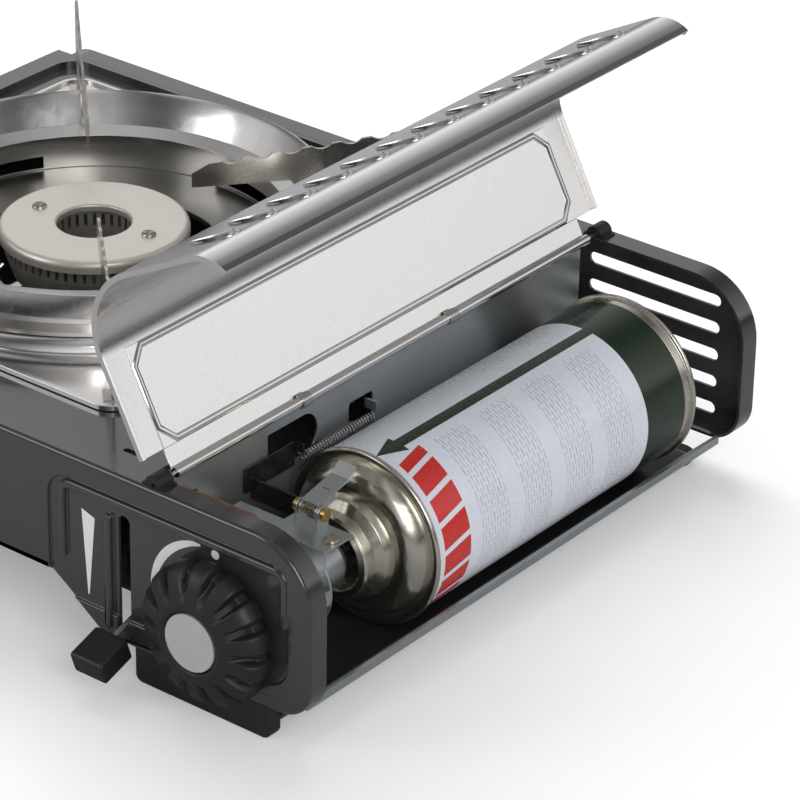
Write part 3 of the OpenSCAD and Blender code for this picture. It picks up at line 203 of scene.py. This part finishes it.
def surface_group():
    """Node group: how a made surface varies, as a tone, a roughness and a fine relief."""
    g = bpy.data.node_groups.new("made_surface", "ShaderNodeTree")
    face = g.interface
    for name, kind, value in (("Dark", "Color", (0.1, 0.1, 0.1, 1)), ("Light", "Color", (0.12, 0.12, 0.12, 1)),
                              ("Patch Scale", "Float", 30.0), ("Grain Scale", "Float", 900.0),
                              ("Smooth", "Float", 0.2), ("Rough", "Float", 0.35), ("Relief", "Float", 0.1)):
        s = face.new_socket(name=name, in_out="INPUT", socket_type="NodeSocket" + kind)
        s.default_value = value
    for name, kind in (("Color", "Color"), ("Roughness", "Float"), ("Normal", "Vector")):
        face.new_socket(name=name, in_out="OUTPUT", socket_type="NodeSocket" + kind)
    n, l = g.nodes, g.links
    gin, gout = n.new("NodeGroupInput"), n.new("NodeGroupOutput")
    place = n.new("ShaderNodeTexCoord")
    patch, grain = n.new("ShaderNodeTexNoise"), n.new("ShaderNodeTexNoise")
    for noise, detail, scale in ((patch, 4.0, "Patch Scale"), (grain, 3.0, "Grain Scale")):
        noise.inputs["Detail"].default_value = detail
        l.new(place.outputs["Object"], noise.inputs["Vector"])
        l.new(gin.outputs[scale], noise.inputs["Scale"])
    tone = n.new("ShaderNodeMix")
    tone.data_type = "RGBA"
    l.new(patch.outputs["Fac"], tone.inputs["Factor"])
    l.new(gin.outputs["Dark"], tone.inputs["A"])
    l.new(gin.outputs["Light"], tone.inputs["B"])
    blend = n.new("ShaderNodeMath")
    blend.operation = "MULTIPLY_ADD"
    blend.inputs[1].default_value = 0.5
    l.new(grain.outputs["Fac"], blend.inputs[0])
    halfway = n.new("ShaderNodeMath")
    halfway.operation = "MULTIPLY"
    halfway.inputs[1].default_value = 0.5
    l.new(patch.outputs["Fac"], halfway.inputs[0])
    l.new(halfway.outputs[0], blend.inputs[2])
    rough = n.new("ShaderNodeMapRange")
    rough.inputs["From Min"].default_value = 0.3
    rough.inputs["From Max"].default_value = 0.7
    l.new(blend.outputs[0], rough.inputs["Value"])
    l.new(gin.outputs["Smooth"], rough.inputs["To Min"])
    l.new(gin.outputs["Rough"], rough.inputs["To Max"])
    bump = n.new("ShaderNodeBump")
    bump.inputs["Distance"].default_value = relief_height
    l.new(gin.outputs["Relief"], bump.inputs["Strength"])
    l.new(grain.outputs["Fac"], bump.inputs["Height"])
    l.new(tone.outputs["Result"], gout.inputs["Color"])
    l.new(rough.outputs[0], gout.inputs["Roughness"])
    l.new(bump.outputs[0], gout.inputs["Normal"])
    return g


relief_height = 0.0002
made_surface = surface_group()


def finish(name, dark, light, metallic=0.0, patch=30.0, grain=900.0, smooth=0.2, rough=0.35,
           relief=0.1, coat=0.0):
    """A material whose tone, roughness and relief come from the made_surface group.

    The tone wanders from dark to light at the scale of patch, the roughness from smooth to
    rough, and relief is the share of the fine bumps at the scale of grain."""
    m = bpy.data.materials.new(name)
    m.use_nodes = True
    n, l = m.node_tree.nodes, m.node_tree.links
    b = n["Principled BSDF"]
    g = n.new("ShaderNodeGroup")
    g.node_tree = made_surface
    g.name = "surface"
    for label, value in (("Dark", dark), ("Light", light), ("Patch Scale", patch), ("Grain Scale", grain),
                         ("Smooth", smooth), ("Rough", rough), ("Relief", relief)):
        g.inputs[label].default_value = value
    l.new(g.outputs["Color"], b.inputs["Base Color"])
    l.new(g.outputs["Roughness"], b.inputs["Roughness"])
    l.new(g.outputs["Normal"], b.inputs["Normal"])
    b.inputs["Metallic"].default_value = metallic
    b.inputs["Coat Weight"].default_value = coat
    b.inputs["Coat Roughness"].default_value = 0.08
    return m


def linked(title, mesh, *materials):
    """A new object of the scene with this mesh and these materials."""
    for material in materials:
        mesh.materials.append(material)
    piece = bpy.data.objects.new(title, mesh)
    bpy.context.collection.objects.link(piece)
    return piece


def mesh_from(bm, title):
    """The finished bmesh as a mesh of its own."""
    mesh = bpy.data.meshes.new(title)
    bm.to_mesh(mesh)
    bm.free()
    return mesh


def made_from(node, title, material, edge=0.00025, angle=28.0, soft=None):
    """The CAD node as a finished piece: corners welded, edges rounded, curved faces smooth.

    edge is the width of the rounding, and angle the least bend between faces that gets it.
    soft gives each sharp edge its own share of edge, for pressings with broad roundings."""
    solid = frame["nodes"][node]
    bm = bmesh.new()
    bm.from_mesh(solid.data)
    bmesh.ops.remove_doubles(bm, verts=bm.verts, dist=1e-6)
    bmesh.ops.dissolve_limit(bm, angle_limit=math.radians(0.5), verts=bm.verts, edges=bm.edges)
    if soft:
        share = bm.edges.layers.float.new("bevel_weight_edge")
        for e in bm.edges:
            if len(e.link_faces) == 2 and e.calc_face_angle(0.0) > math.radians(35):
                e[share] = soft(e)
    mesh = mesh_from(bm, title)
    mesh.materials.clear()
    piece = linked(title, mesh, material)
    if edge > 0:
        round_off = piece.modifiers.new("broken_edge", "BEVEL")
        round_off.width = edge
        round_off.segments = 4 if soft else 2
        round_off.limit_method = "WEIGHT" if soft else "ANGLE"
        round_off.angle_limit = math.radians(angle)
        round_off.use_clamp_overlap = not soft
        round_off.harden_normals = True
    mesh.shade_smooth()
    mesh.set_sharp_from_angle(angle=math.radians(angle))
    even = piece.modifiers.new("even_shading", "WEIGHTED_NORMAL")
    even.keep_sharp = True
    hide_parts(node)
    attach(piece, body_of_node[node])


enamel = finish("grey_enamel", linear(47, 47, 49), linear(57, 57, 59), patch=9.0, grain=420.0,
                smooth=0.12, rough=0.2, relief=0.04, coat=0.8)
foot_black = finish("foot_enamel", linear(30, 30, 31), linear(38, 38, 39), patch=12.0, grain=600.0,
                    smooth=0.22, rough=0.34, relief=0.06, coat=0.3)
bar_height, field_depth = 0.0007, 0.0012
face_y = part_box("front_panel")[0][1] + bar_height


def panel_share(e):
    """Share of the rounding: all of it on the outline, most on the raised bars."""
    outline, step_down, bar, field, inside = 1.0, 0.35, 0.62, 0.3, 0.0
    least_side = 0.005
    y = max(v.co.y for v in e.verts)
    deep = max(max(v.co.y for v in f.verts) for f in e.link_faces) - y
    if abs(y - face_y) < 1e-5:
        return outline if deep > least_side else step_down
    if y < face_y:
        return bar
    return field if y < face_y + field_depth + 0.0002 else inside


made_from("front_panel", "front_panel_pressing", enamel, edge=0.0016, soft=panel_share)
made_from("rear_panel", "rear_panel_pressing", enamel, edge=0.0005)
made_from("top_shell", "top_shell_pressing", enamel, edge=0.0006)
made_from("front_feet", "foot_bars", foot_black, edge=0.0008)

# Printed marks: white enamel print on the front panel, a long wedge beside the lever
# slot, a round dot over the knob and a thin crescent round it. No words are printed.
ink = finish("white_print", linear(232, 232, 230), linear(245, 245, 243), patch=60.0,
             smooth=0.35, rough=0.5, relief=0.02)
knob_axis = Vector((0.1355, 0.0, 0.0392))
print_y = face_y + field_depth - 0.0001


def on_circle(x, z, r, a):
    """The point in X and Z at angle a on the circle of radius r round x, z."""
    return x + r * math.cos(a), z + r * math.sin(a)


def printed(title, outline):
    """A flat printed shape, from its outline in X and Z, lying on the pressed field."""
    bm = bmesh.new()
    face = bm.faces.new([bm.verts.new((x, print_y, z)) for x, z in outline])
    bmesh.ops.triangulate(bm, faces=[face])
    bm.normal_update()
    for f in bm.faces:
        if f.normal.y > 0:
            f.normal_flip()
    piece = linked(title, mesh_from(bm, title), ink)
    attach(piece, "stove_body")


printed("print_wedge", [(0.0722, 0.0625), (0.0784, 0.0605), (0.0752, 0.0284), (0.0746, 0.0284)])
dot_x, dot_z, dot_r, dot_sides = 0.134, 0.0667, 0.0018, 24
printed("print_dot", [on_circle(dot_x, dot_z, dot_r, 2 * math.pi * k / dot_sides) for k in range(dot_sides)])
crescent_r, widest, thinnest, blunt_end = 0.0295, 0.0032, 0.0002, 0.12
first_angle, sweep, steps = 106, 84, 24
outer, inner = [], []
for k in range(steps + 1):
    a = math.radians(first_angle + sweep * k / steps)
    wide = widest * math.sin(math.pi * min(1.0, blunt_end + (1 - blunt_end) * k / steps)) + thinnest
    outer.append(on_circle(knob_axis.x, knob_axis.z, crescent_r + wide, a))
    inner.append(on_circle(knob_axis.x, knob_axis.z, crescent_r, a))
printed("print_crescent", outer + inner[::-1])

# Knob: a low moulded dome in black plastic with fourteen rounded flutes cut into its
# rim, and a satin grey disc set into its middle. The lever cap is the same plastic.
knob_plastic = finish("knob_plastic", linear(25, 25, 26), linear(33, 33, 34), patch=80.0, grain=2600.0,
                      smooth=0.38, rough=0.52, relief=0.25)
disc_grey = finish("disc_grey", linear(172, 172, 172), linear(186, 186, 186), patch=120.0, grain=1800.0,
                   smooth=0.35, rough=0.45, relief=0.1)
knob_profile = [(0.0040, 0.0002), (0.0250, 0.0002), (0.0264, 0.0008), (0.0270, 0.0022), (0.0270, 0.0050),
                (0.0265, 0.0072), (0.0252, 0.0092), (0.0230, 0.0108), (0.0200, 0.0120), (0.0172, 0.0128),
                (0.0148, 0.0137), (0.0134, 0.0141), (0.0122, 0.0140), (0.0115, 0.0133), (0.0112, 0.0122)]
knob_back, flutes, around = -0.1248, 14, 14 * 24
flute_inward, flute_backward, back_share = 0.0030, 0.0032, 0.6
flute_start, flute_fade, dome_start, dome_fade = 0.0168, 0.007, 0.006, 0.003


def ramp(value, start, length):
    """0 up to start, 1 from start + length on, and straight between them."""
    return min(1.0, max(0.0, (value - start) / length))


bm = bmesh.new()
rings = []
for r, out_by in knob_profile:
    ring = []
    for k in range(around):
        a = 2 * math.pi * k / around
        valley = ramp(math.cos(flutes * a), 0.15, 0.55)
        valley = valley * valley * (3 - 2 * valley)
        cut_in = valley * ramp(r, flute_start, flute_fade)
        rr = r - flute_inward * cut_in * (1.0 if out_by > 0.001 else back_share)
        dd = out_by - flute_backward * cut_in * ramp(out_by, dome_start, dome_fade)
        x, z = on_circle(knob_axis.x, knob_axis.z, rr, a)
        ring.append(bm.verts.new((x, knob_back - dd, z)))
    rings.append(ring)
for p, q in zip(rings, rings[1:]):
    for k in range(around):
        bm.faces.new((p[k], q[k], q[(k + 1) % around], p[(k + 1) % around]))
bm.faces.new(rings[0])
bm.faces.new(rings[-1][::-1])
bmesh.ops.recalc_face_normals(bm, faces=bm.faces)
mesh = mesh_from(bm, "fluted_knob")
for poly in mesh.polygons:
    poly.use_smooth = len(poly.vertices) == 4
knob = linked("fluted_knob", mesh, knob_plastic)
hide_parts("control_knob")
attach(knob, "knob")
made_from("knob_disc", "knob_centre_disc", disc_grey, edge=0.0004)
made_from("lever_cap", "lever_grip", knob_plastic, edge=0.0022)

# Polished stainless: the pan, the wind ring, the supports and the lid are thin rolled
# and pressed sheet, bright but with the faint uneven haze of pressing.
mirror_steel = finish("polished_stainless", linear(224, 222, 219), linear(238, 236, 233), metallic=1.0,
                      patch=14.0, grain=700.0, smooth=0.11, rough=0.2, relief=0.012)
blade_steel = finish("blade_stainless", linear(186, 182, 174), linear(208, 204, 196), metallic=1.0,
                     patch=60.0, grain=1400.0, smooth=0.16, rough=0.3, relief=0.04)
made_from("drip_pan", "pan_pressing", mirror_steel, edge=0.0005)
made_from("wind_ring", "spun_wind_ring", mirror_steel, edge=0.0003, angle=32)
for corner in ("front_left", "front_right", "rear_left", "rear_right"):
    made_from("support_" + corner, "pan_support_" + corner, blade_steel, edge=0.0002)
made_from("lid", "lid_pressing", mirror_steel, edge=0.0002, angle=26)

# Lid pressings, drawn on the closed lid from its hinge rod and then turned open: a bead
# with cut corners round the field on its inside, and a rolled rim round each vent.
lid_turn = math.radians(-118)
lid_low, lid_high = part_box("lid")


def middle(box):
    """The middle of a box, given as its low and its high corner."""
    return Vector([(low + high) / 2 for low, high in zip(*box)])


rod = middle(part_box("hinge_rod"))


def pressed_bead(title, outlines, profile, placed):
    """Closed beads of one profile, each swept round its own flat outline with mitred corners.

    profile holds (aside, raised) pairs, and placed turns a point of the outline and its
    height over the sheet into X, Y and Z on the closed lid, from the rod."""
    bm = bmesh.new()
    for outline in outlines:
        loops = []
        for k, here in enumerate(outline):
            before, after = Vector(outline[k - 1]), Vector(outline[(k + 1) % len(outline)])
            u, v = (Vector(here) - before).normalized(), (after - Vector(here)).normalized()
            mitre = Vector((u.y + v.y, -u.x - v.x))
            mitre = mitre / max(mitre.length_squared / 2, mitre_limit)
            loop = []
            for aside, raised in profile:
                x, y, z = placed(here[0] + mitre.x * aside, here[1] + mitre.y * aside, raised)
                loop.append(bm.verts.new((rod.x + x * math.cos(lid_turn) + z * math.sin(lid_turn), y,
                                          rod.z - x * math.sin(lid_turn) + z * math.cos(lid_turn))))
            loops.append(loop)
        for k, p in enumerate(loops):
            q = loops[(k + 1) % len(loops)]
            for j in range(len(p)):
                bm.faces.new((p[j], q[j], q[(j + 1) % len(p)], p[(j + 1) % len(p)]))
    bmesh.ops.recalc_face_normals(bm, faces=bm.faces)
    mesh = mesh_from(bm, title)
    mesh.shade_smooth()
    mesh.set_sharp_from_angle(angle=math.radians(35))
    piece = linked(title, mesh, mirror_steel)
    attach(piece, "lid")


mitre_limit, end_margin, field_face = 0.6, 0.0134, 0.0008
near, far, first, last, cut = 0.0104, 0.0454, lid_low[1] + end_margin, lid_high[1] - end_margin, 0.006
corners = [(near, first + cut), (near + cut, first), (far - cut, first), (far, first + cut),
           (far, last - cut), (far - cut, last), (near + cut, last), (near, last - cut)]
low_bead = [(-0.0013, 0.0), (-0.0010, 0.00022), (-0.0005, 0.00046), (0.0, 0.00054), (0.0005, 0.00046),
            (0.0010, 0.00022), (0.0013, 0.0), (0.0010, -0.0002), (-0.0010, -0.0002)]
pressed_bead("lid_field_bead", [corners], low_bead,
             lambda along, across, raised: (along, across, field_face - raised))
vents, vent_r, vent_end, vent_tip, vent_margin, vent_face = 12, 0.0034, -0.057, -0.039, 0.012, 0.0744
vent_step = (lid_high[1] - lid_low[1] - 2 * vent_margin) / vents
# Each vent is a drop: a round end, drawn in straight to a tip.
drop = [on_circle(vent_end, 0.0, vent_r, math.radians(180 - a)) for a in range(-100, 101, 10)]
drop += [(drop[-1][0] + (vent_tip - drop[-1][0]) * s, drop[-1][1] * (1 - s)) for s in (0.33, 0.66)]
drop += [(vent_tip, 0.0)] + [(x, -y) for x, y in drop[-1:-3:-1]]
centres = [lid_low[1] + vent_margin + vent_step * (k + 0.5) for k in range(vents)]
rolled_rim = [(-0.0003, -0.0003), (-0.0003, 0.0004), (0.0001, 0.0009), (0.0006, 0.0009),
              (0.0011, 0.0005), (0.0016, 0.0), (0.0016, -0.0003)]
pressed_bead("vent_rims", [[(x, y + c) for x, y in drop[::-1]] for c in centres], rolled_rim,
             lambda along, across, raised: (vent_face + raised, across, along))

# Burner: a grey cast body with milled flame ports, under a bead-blasted steel cap held by
# two cross-head screws, in a dull pressed dish.
cap_steel = finish("cap_steel", linear(216, 209, 198), linear(232, 226, 216), metallic=0.7, patch=40.0,
                   grain=2400.0, smooth=0.3, rough=0.42, relief=0.1)
cast_grey = finish("burner_casting", linear(136, 134, 128), linear(166, 163, 155), metallic=0.55,
                   patch=70.0, grain=1600.0, smooth=0.42, rough=0.62, relief=0.5)
dull_steel = finish("dull_steel", linear(140, 139, 136), linear(168, 166, 162), metallic=1.0,
                    smooth=0.26, rough=0.4, relief=0.05)
made_from("burner_cap", "cap_pressing", cap_steel, edge=0.0003)
made_from("burner_body", "burner_casting_body", cast_grey, edge=0.00015)
made_from("burner_dish", "dish_pressing", dull_steel, edge=0.0003)
screw_steel = finish("screw_steel", linear(190, 180, 160), linear(212, 204, 188), metallic=1.0,
                     patch=300.0, grain=3000.0, smooth=0.2, rough=0.34, relief=0.08)
burner_axis = middle(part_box("burner_cap"))
cap_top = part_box("burner_cap")[1][2]


def screw_head_mesh():
    """One pan head with a crossed recess, standing on the ground at the origin."""
    bm = bmesh.new()
    profile = [(0.0, 0.00155), (0.0012, 0.0015), (0.0022, 0.0012),
               (0.0028, 0.0007), (0.0029, 0.0002), (0.0029, -0.0004)]
    sides, recess, recess_r, arm_start = 32, 0.0007, 0.0016, 0.86
    rows = [[bm.verts.new((0, 0, profile[0][1]))]]
    for r, z in profile[1:]:
        row = []
        for k in range(sides):
            a = 2 * math.pi * k / sides
            cross = ramp(abs(math.cos(2 * a)), arm_start, 1 - arm_start) if r < recess_r else 0.0
            row.append(bm.verts.new((r * math.cos(a), r * math.sin(a), z - recess * cross)))
        rows.append(row)
    rows[0][0].co.z -= recess
    for k in range(sides):
        bm.faces.new((rows[0][0], rows[1][k], rows[1][(k + 1) % sides]))
    for p, q in zip(rows[1:], rows[2:]):
        for k in range(sides):
            bm.faces.new((p[k], q[k], q[(k + 1) % sides], p[(k + 1) % sides]))
    bm.faces.new(rows[-1][::-1])
    bmesh.ops.recalc_face_normals(bm, faces=bm.faces)
    mesh = mesh_from(bm, "screw_head")
    for poly in mesh.polygons:
        poly.use_smooth = len(poly.vertices) < 8
    return mesh


def circle_tree(name):
    """A tree that repeats the incoming mesh round a circle and gives it a material."""
    g = bpy.data.node_groups.new(name, "GeometryNodeTree")
    ids = {}
    for label, kind in (("Part", "Geometry"), ("Count", "Int"), ("Circle Radius", "Float"),
                        ("Finish", "Material")):
        s = g.interface.new_socket(name=label, in_out="INPUT", socket_type="NodeSocket" + kind)
        ids[label] = s.identifier
    g.interface.new_socket(name="Parts", in_out="OUTPUT", socket_type="NodeSocketGeometry")
    n, l = g.nodes, g.links
    gin, gout = n.new("NodeGroupInput"), n.new("NodeGroupOutput")
    points = n.new("GeometryNodeMeshCircle")
    instance = n.new("GeometryNodeInstanceOnPoints")
    real = n.new("GeometryNodeRealizeInstances")
    paint = n.new("GeometryNodeSetMaterial")
    l.new(gin.outputs["Count"], points.inputs["Vertices"])
    l.new(gin.outputs["Circle Radius"], points.inputs["Radius"])
    l.new(points.outputs[0], instance.inputs["Points"])
    l.new(gin.outputs["Part"], instance.inputs["Instance"])
    l.new(instance.outputs[0], real.inputs[0])
    l.new(real.outputs[0], paint.inputs["Geometry"])
    l.new(gin.outputs["Finish"], paint.inputs["Material"])
    l.new(paint.outputs[0], gout.inputs[0])
    return g, ids


def made_plain(title, mesh, tree, ids, values):
    """Runs the tree on mesh and returns the result as a plain mesh object at the origin."""
    source = linked(title + "_source", mesh)
    mod = source.modifiers.new("repeat", "NODES")
    mod.node_group = tree
    for label, value in values.items():
        mod[ids[label]] = value
    bpy.context.view_layer.update()
    graph = bpy.context.evaluated_depsgraph_get()
    plain = bpy.data.meshes.new_from_object(source.evaluated_get(graph), depsgraph=graph)
    source.modifiers.remove(mod)
    bpy.data.objects.remove(source)
    return linked(title, plain)


# A circle of points has three of them or more, so four heads are made, two on each axis,
# and the two on the Y axis go.
ring_tree, ring_ids = circle_tree("screws_on_a_circle")
screw_circle, screw_line = 0.02495, math.radians(10)
heads = made_plain("cap_screw_heads", screw_head_mesh(), ring_tree, ring_ids,
                   {"Count": 4, "Circle Radius": screw_circle, "Finish": screw_steel})
bm = bmesh.new()
bm.from_mesh(heads.data)
bmesh.ops.delete(bm, geom=[v for v in bm.verts if abs(v.co.x) < screw_circle / 2], context="VERTS")
bmesh.ops.rotate(bm, verts=bm.verts, cent=(0, 0, 0), matrix=Matrix.Rotation(screw_line, 3, "Z"))
bmesh.ops.translate(bm, verts=bm.verts, vec=(burner_axis.x, burner_axis.y, cap_top))
bm.to_mesh(heads.data)
bm.free()
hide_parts("cap_screws")
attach(heads, "stove_body")

# Galvanised bay: the tray, the partition, the bottom plate and the small levers are cut
# from zinc-coated sheet with a soft mottled shine. The carriage is black, and a thin dark
# sheet on the tray's flat floor is painted shade, standing in for the shadow the floor lies in.
zinc = finish("galvanised_sheet", linear(178, 183, 183), linear(196, 200, 200), metallic=0.85,
              patch=38.0, grain=500.0, smooth=0.3, rough=0.42, relief=0.03)
# A near-black material for the painted shade on the tray's floor.
painted_shade_black = finish("tray_floor_painted_shade", linear(34, 34, 35), linear(46, 46, 48), patch=25.0,
                    smooth=0.3, rough=0.5, relief=0.15)
for node, title in (("partition", "partition_sheet"), ("bottom_plate", "bottom_sheet"),
                    ("regulator_bracket", "bracket_sheet"), ("safety_flap", "flap_stamping"),
                    ("lever_arm", "lever_stamping"), ("cartridge_tray", "tray_sheet")):
    made_from(node, title, zinc, edge=0.00012)
made_from("carriage", "carriage_slider", foot_black, edge=0.0002)
# A thin near-black sheet just over the tray's floor: painted shade where the floor lies in shadow.
shade_top, shade_under, wall_gap, slope_width, end_gap = 0.00452, 0.00442, 0.0004, 0.0147, 0.0005
low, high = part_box("cartridge_tray")
x0, x1, y0, y1 = low[0] + wall_gap, high[0] - slope_width, low[1] + end_gap, high[1] - end_gap
bm = bmesh.new()
quad = [bm.verts.new((x, y, shade_top)) for x, y in ((x0, y0), (x1, y0), (x1, y1), (x0, y1))]
bm.faces.new(quad)
under = [bm.verts.new((v.co.x, v.co.y, shade_under)) for v in quad]
bm.faces.new(under[::-1])
for k in range(4):
    bm.faces.new((quad[k], under[k], under[(k + 1) % 4], quad[(k + 1) % 4]))
bmesh.ops.recalc_face_normals(bm, faces=bm.faces)
shade_sheet = linked("tray_floor_shade_sheet", mesh_from(bm, "tray_floor_shade_sheet"), painted_shade_black)
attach(shade_sheet, "stove_body")

# Gas side: a die-cast regulator with its cover and nose, brass jet and pin, a copper
# pipe, steel spindle and springs.
cast_zinc = finish("die_casting", linear(168, 170, 172), linear(192, 194, 196), metallic=0.9,
                   patch=90.0, grain=1500.0, smooth=0.28, rough=0.44, relief=0.3)
brass = finish("brass_turned", linear(190, 160, 96), linear(212, 184, 120), metallic=1.0,
               patch=200.0, grain=2500.0, rough=0.34, relief=0.05)
copper = finish("copper_tube", linear(176, 110, 80), linear(200, 132, 98), metallic=1.0,
                patch=60.0, smooth=0.22, rough=0.36, relief=0.05)
bright_wire = finish("bright_wire", linear(180, 180, 178), linear(206, 206, 204), metallic=1.0,
                     patch=200.0, grain=2500.0, smooth=0.16, rough=0.28, relief=0.04)
for node, title, skin, edge in (
        ("regulator_body", "regulator_casting", cast_zinc, 0.0004),
        ("regulator_cover", "regulator_cap", cast_zinc, 0.0004),
        ("regulator_nose", "regulator_nozzle", cast_zinc, 0.0004),
        ("mixing_tube", "mixing_tube_casting", cast_zinc, 0.0003),
        ("gas_jet", "jet_fitting", brass, 0.0002),
        ("flap_pin", "flap_rivet_pin", brass, 0.0003),
        ("gas_pipe", "copper_pipe", copper, 0.0),
        ("valve_spindle", "spindle_rod", bright_wire, 0.0002),
        ("lever_pivot", "pivot_pin", bright_wire, 0.0002),
        ("hinge_rod", "hinge_wire", bright_wire, 0.0002),
        ("rod_clips", "spring_clips", bright_wire, 0.0001),
        ("tension_spring", "coil_spring", bright_wire, 0.0),
        ("flap_spring", "flap_coil", bright_wire, 0.0),
        ("electrode", "spark_wire", bright_wire, 0.0),
        ("bottom_screws", "plate_screws", screw_steel, 0.0002),
        ("bracket_screws", "bracket_screw", screw_steel, 0.0003)):
    made_from(node, title, skin, edge=edge)

# Small black and white parts: hinge ears, igniter, rubber feet and seal in black, and the
# glazed insulator of the spark electrode in white.
soft_black = finish("black_rubber", linear(26, 26, 27), linear(38, 38, 39), patch=70.0, grain=2200.0,
                    smooth=0.55, rough=0.75, relief=0.35)
glazed = finish("glazed_ceramic", linear(226, 224, 214), linear(240, 238, 230), patch=90.0, grain=700.0,
                smooth=0.1, rough=0.2, relief=0.03, coat=0.5)
for node, title, skin, edge in (
        ("hinge_ear_front", "front_hinge_ear", knob_plastic, 0.0005),
        ("hinge_ear_rear", "rear_hinge_ear", knob_plastic, 0.0005),
        ("igniter_unit", "igniter_case", knob_plastic, 0.0006),
        ("igniter_lead", "igniter_cable", soft_black, 0.0),
        ("rubber_feet", "round_feet", soft_black, 0.0006),
        ("nose_seal", "nozzle_seal", soft_black, 0.0002),
        ("valve_stem", "stem", soft_black, 0.0002),
        ("electrode_insulator", "insulator", glazed, 0.0002)):
    made_from(node, title, skin, edge=edge)

# Cartridge: a drawn tin can with a gold-tinted tin dome and base, rolled seams, and a
# printed label in white with a dark green end, a green arrow, a row of plain red blocks
# and columns of short grey dashes. No words are printed.
tin = finish("tinplate", linear(206, 200, 186), linear(224, 219, 207), metallic=1.0, patch=22.0,
             smooth=0.18, rough=0.3, relief=0.03)
made_from("can_dome", "can_shoulder", tin, edge=0.0002, angle=40)
made_from("can_base", "can_bottom", tin, edge=0.0002, angle=40)
made_from("valve_cup", "valve_collar", tin, edge=0.0002, angle=40)
label = finish("can_label", linear(226, 229, 238), linear(236, 238, 244), patch=20.0, grain=700.0,
               smooth=0.22, rough=0.32, relief=0.02, coat=0.2)
n, l = label.node_tree.nodes, label.node_tree.links


def calc(operation, *values):
    """The result of a maths node on these values, each a number or the output of a node."""
    m = n.new("ShaderNodeMath")
    m.operation = operation
    for k, v in enumerate(values):
        if isinstance(v, float):
            m.inputs[k].default_value = v
        else:
            l.new(v, m.inputs[k])
    return m.outputs[0]


def between(value, low, high):
    """1 where value lies between low and high, else 0."""
    return calc("MULTIPLY", calc("GREATER_THAN", value, low), calc("LESS_THAN", value, high))


def tinted(under, share, rgb):
    """The colour under, with rgb in its place where share is 1."""
    tint = n.new("ShaderNodeMix")
    tint.data_type = "RGBA"
    l.new(share, tint.inputs["Factor"])
    l.new(under, tint.inputs["A"])
    tint.inputs["B"].default_value = linear(*rgb)
    return tint.outputs["Result"]


where = n.new("ShaderNodeTexCoord")
centred = n.new("ShaderNodeMapping")
centred.inputs["Location"].default_value = (-knob_axis.x, 0.0, -knob_axis.z)
l.new(where.outputs["Object"], centred.inputs["Vector"])
axes = n.new("ShaderNodeSeparateXYZ")
l.new(centred.outputs[0], axes.inputs[0])
round_about = calc("ARCTAN2", axes.outputs["X"], axes.outputs["Z"])
along = axes.outputs["Y"]

# The green: an arrow along the can, as a shaft and a head that flares from its tip, and
# the can's whole end. Round the can these sizes are in radians, and along it in metres.
arrow_at, arrow_half, arrow_tip, head_end, arrow_flare = 0.105, 0.072, -0.0415, -0.0285, 11.5
shaft_span, end_from = (-0.029, 0.088), 0.0855
off_line = calc("ABSOLUTE", calc("SUBTRACT", round_about, arrow_at))
shaft = calc("MULTIPLY", calc("LESS_THAN", off_line, arrow_half), between(along, *shaft_span))
head_half = calc("MULTIPLY", calc("SUBTRACT", along, arrow_tip), arrow_flare)
head = calc("MULTIPLY", calc("LESS_THAN", off_line, head_half), between(along, arrow_tip, head_end))
green = calc("MAXIMUM", calc("MAXIMUM", shaft, head), calc("GREATER_THAN", along, end_from))

# The red: slanted blocks in a bar part of the way round the can, beside the dome.
slant, blocks_per_radian, block_share = 6.0, 3.1, 0.8
bar_round, bar_along = (0.12, 2.05), (-0.0385, -0.0235)
slanted = calc("ADD", round_about, calc("MULTIPLY", along, slant))
blocks = calc("LESS_THAN", calc("FRACT", calc("MULTIPLY", slanted, blocks_per_radian)), block_share)
bar = calc("MULTIPLY", between(slanted, *bar_round), between(along, *bar_along))
red = calc("MULTIPLY", bar, blocks)

# The grey: rows of dashes, as bricks with wide mortar, in columns on both sides of the arrow.
can_radius, column_start, column_step, column_share, dash_ink = 0.0332, -0.0175, 0.0257, 0.66, 0.5
right_round, right_end = (0.3, 1.95), 0.0765
left_round, left_along = (-0.72, -0.2), (0.0325, 0.081)
rows = n.new("ShaderNodeTexBrick")
rows.inputs["Scale"].default_value = 1.0
rows.inputs["Brick Width"].default_value = 0.0052
rows.inputs["Row Height"].default_value = 0.0017
rows.inputs["Mortar Size"].default_value = 0.0006
rows.inputs["Color1"].default_value = (0, 0, 0, 1)
rows.inputs["Color2"].default_value = (0.35, 0.35, 0.35, 1)
rows.inputs["Mortar"].default_value = (1, 1, 1, 1)
flat = n.new("ShaderNodeCombineXYZ")
l.new(calc("MULTIPLY", round_about, can_radius), flat.inputs[0])
l.new(along, flat.inputs[1])
l.new(flat.outputs[0], rows.inputs["Vector"])
column = calc("FRACT", calc("DIVIDE", calc("SUBTRACT", along, column_start), column_step))
right_side = calc("MULTIPLY", between(round_about, *right_round), between(along, column_start, right_end))
left_side = calc("MULTIPLY", between(round_about, *left_round), between(along, *left_along))
fields = calc("MULTIPLY", calc("LESS_THAN", column, column_share), calc("MAXIMUM", right_side, left_side))
dashes = calc("MULTIPLY", calc("SUBTRACT", 1.0, rows.outputs["Color"]), calc("MULTIPLY", fields, dash_ink))

colour = tinted(n["surface"].outputs["Color"], dashes, (112, 114, 124))
colour = tinted(colour, red, (212, 46, 40))
colour = tinted(colour, green, (26, 44, 25))
l.new(colour, n["Principled BSDF"].inputs["Base Color"])
made_from("can_shell", "can_wall", label, edge=0.0, angle=40)
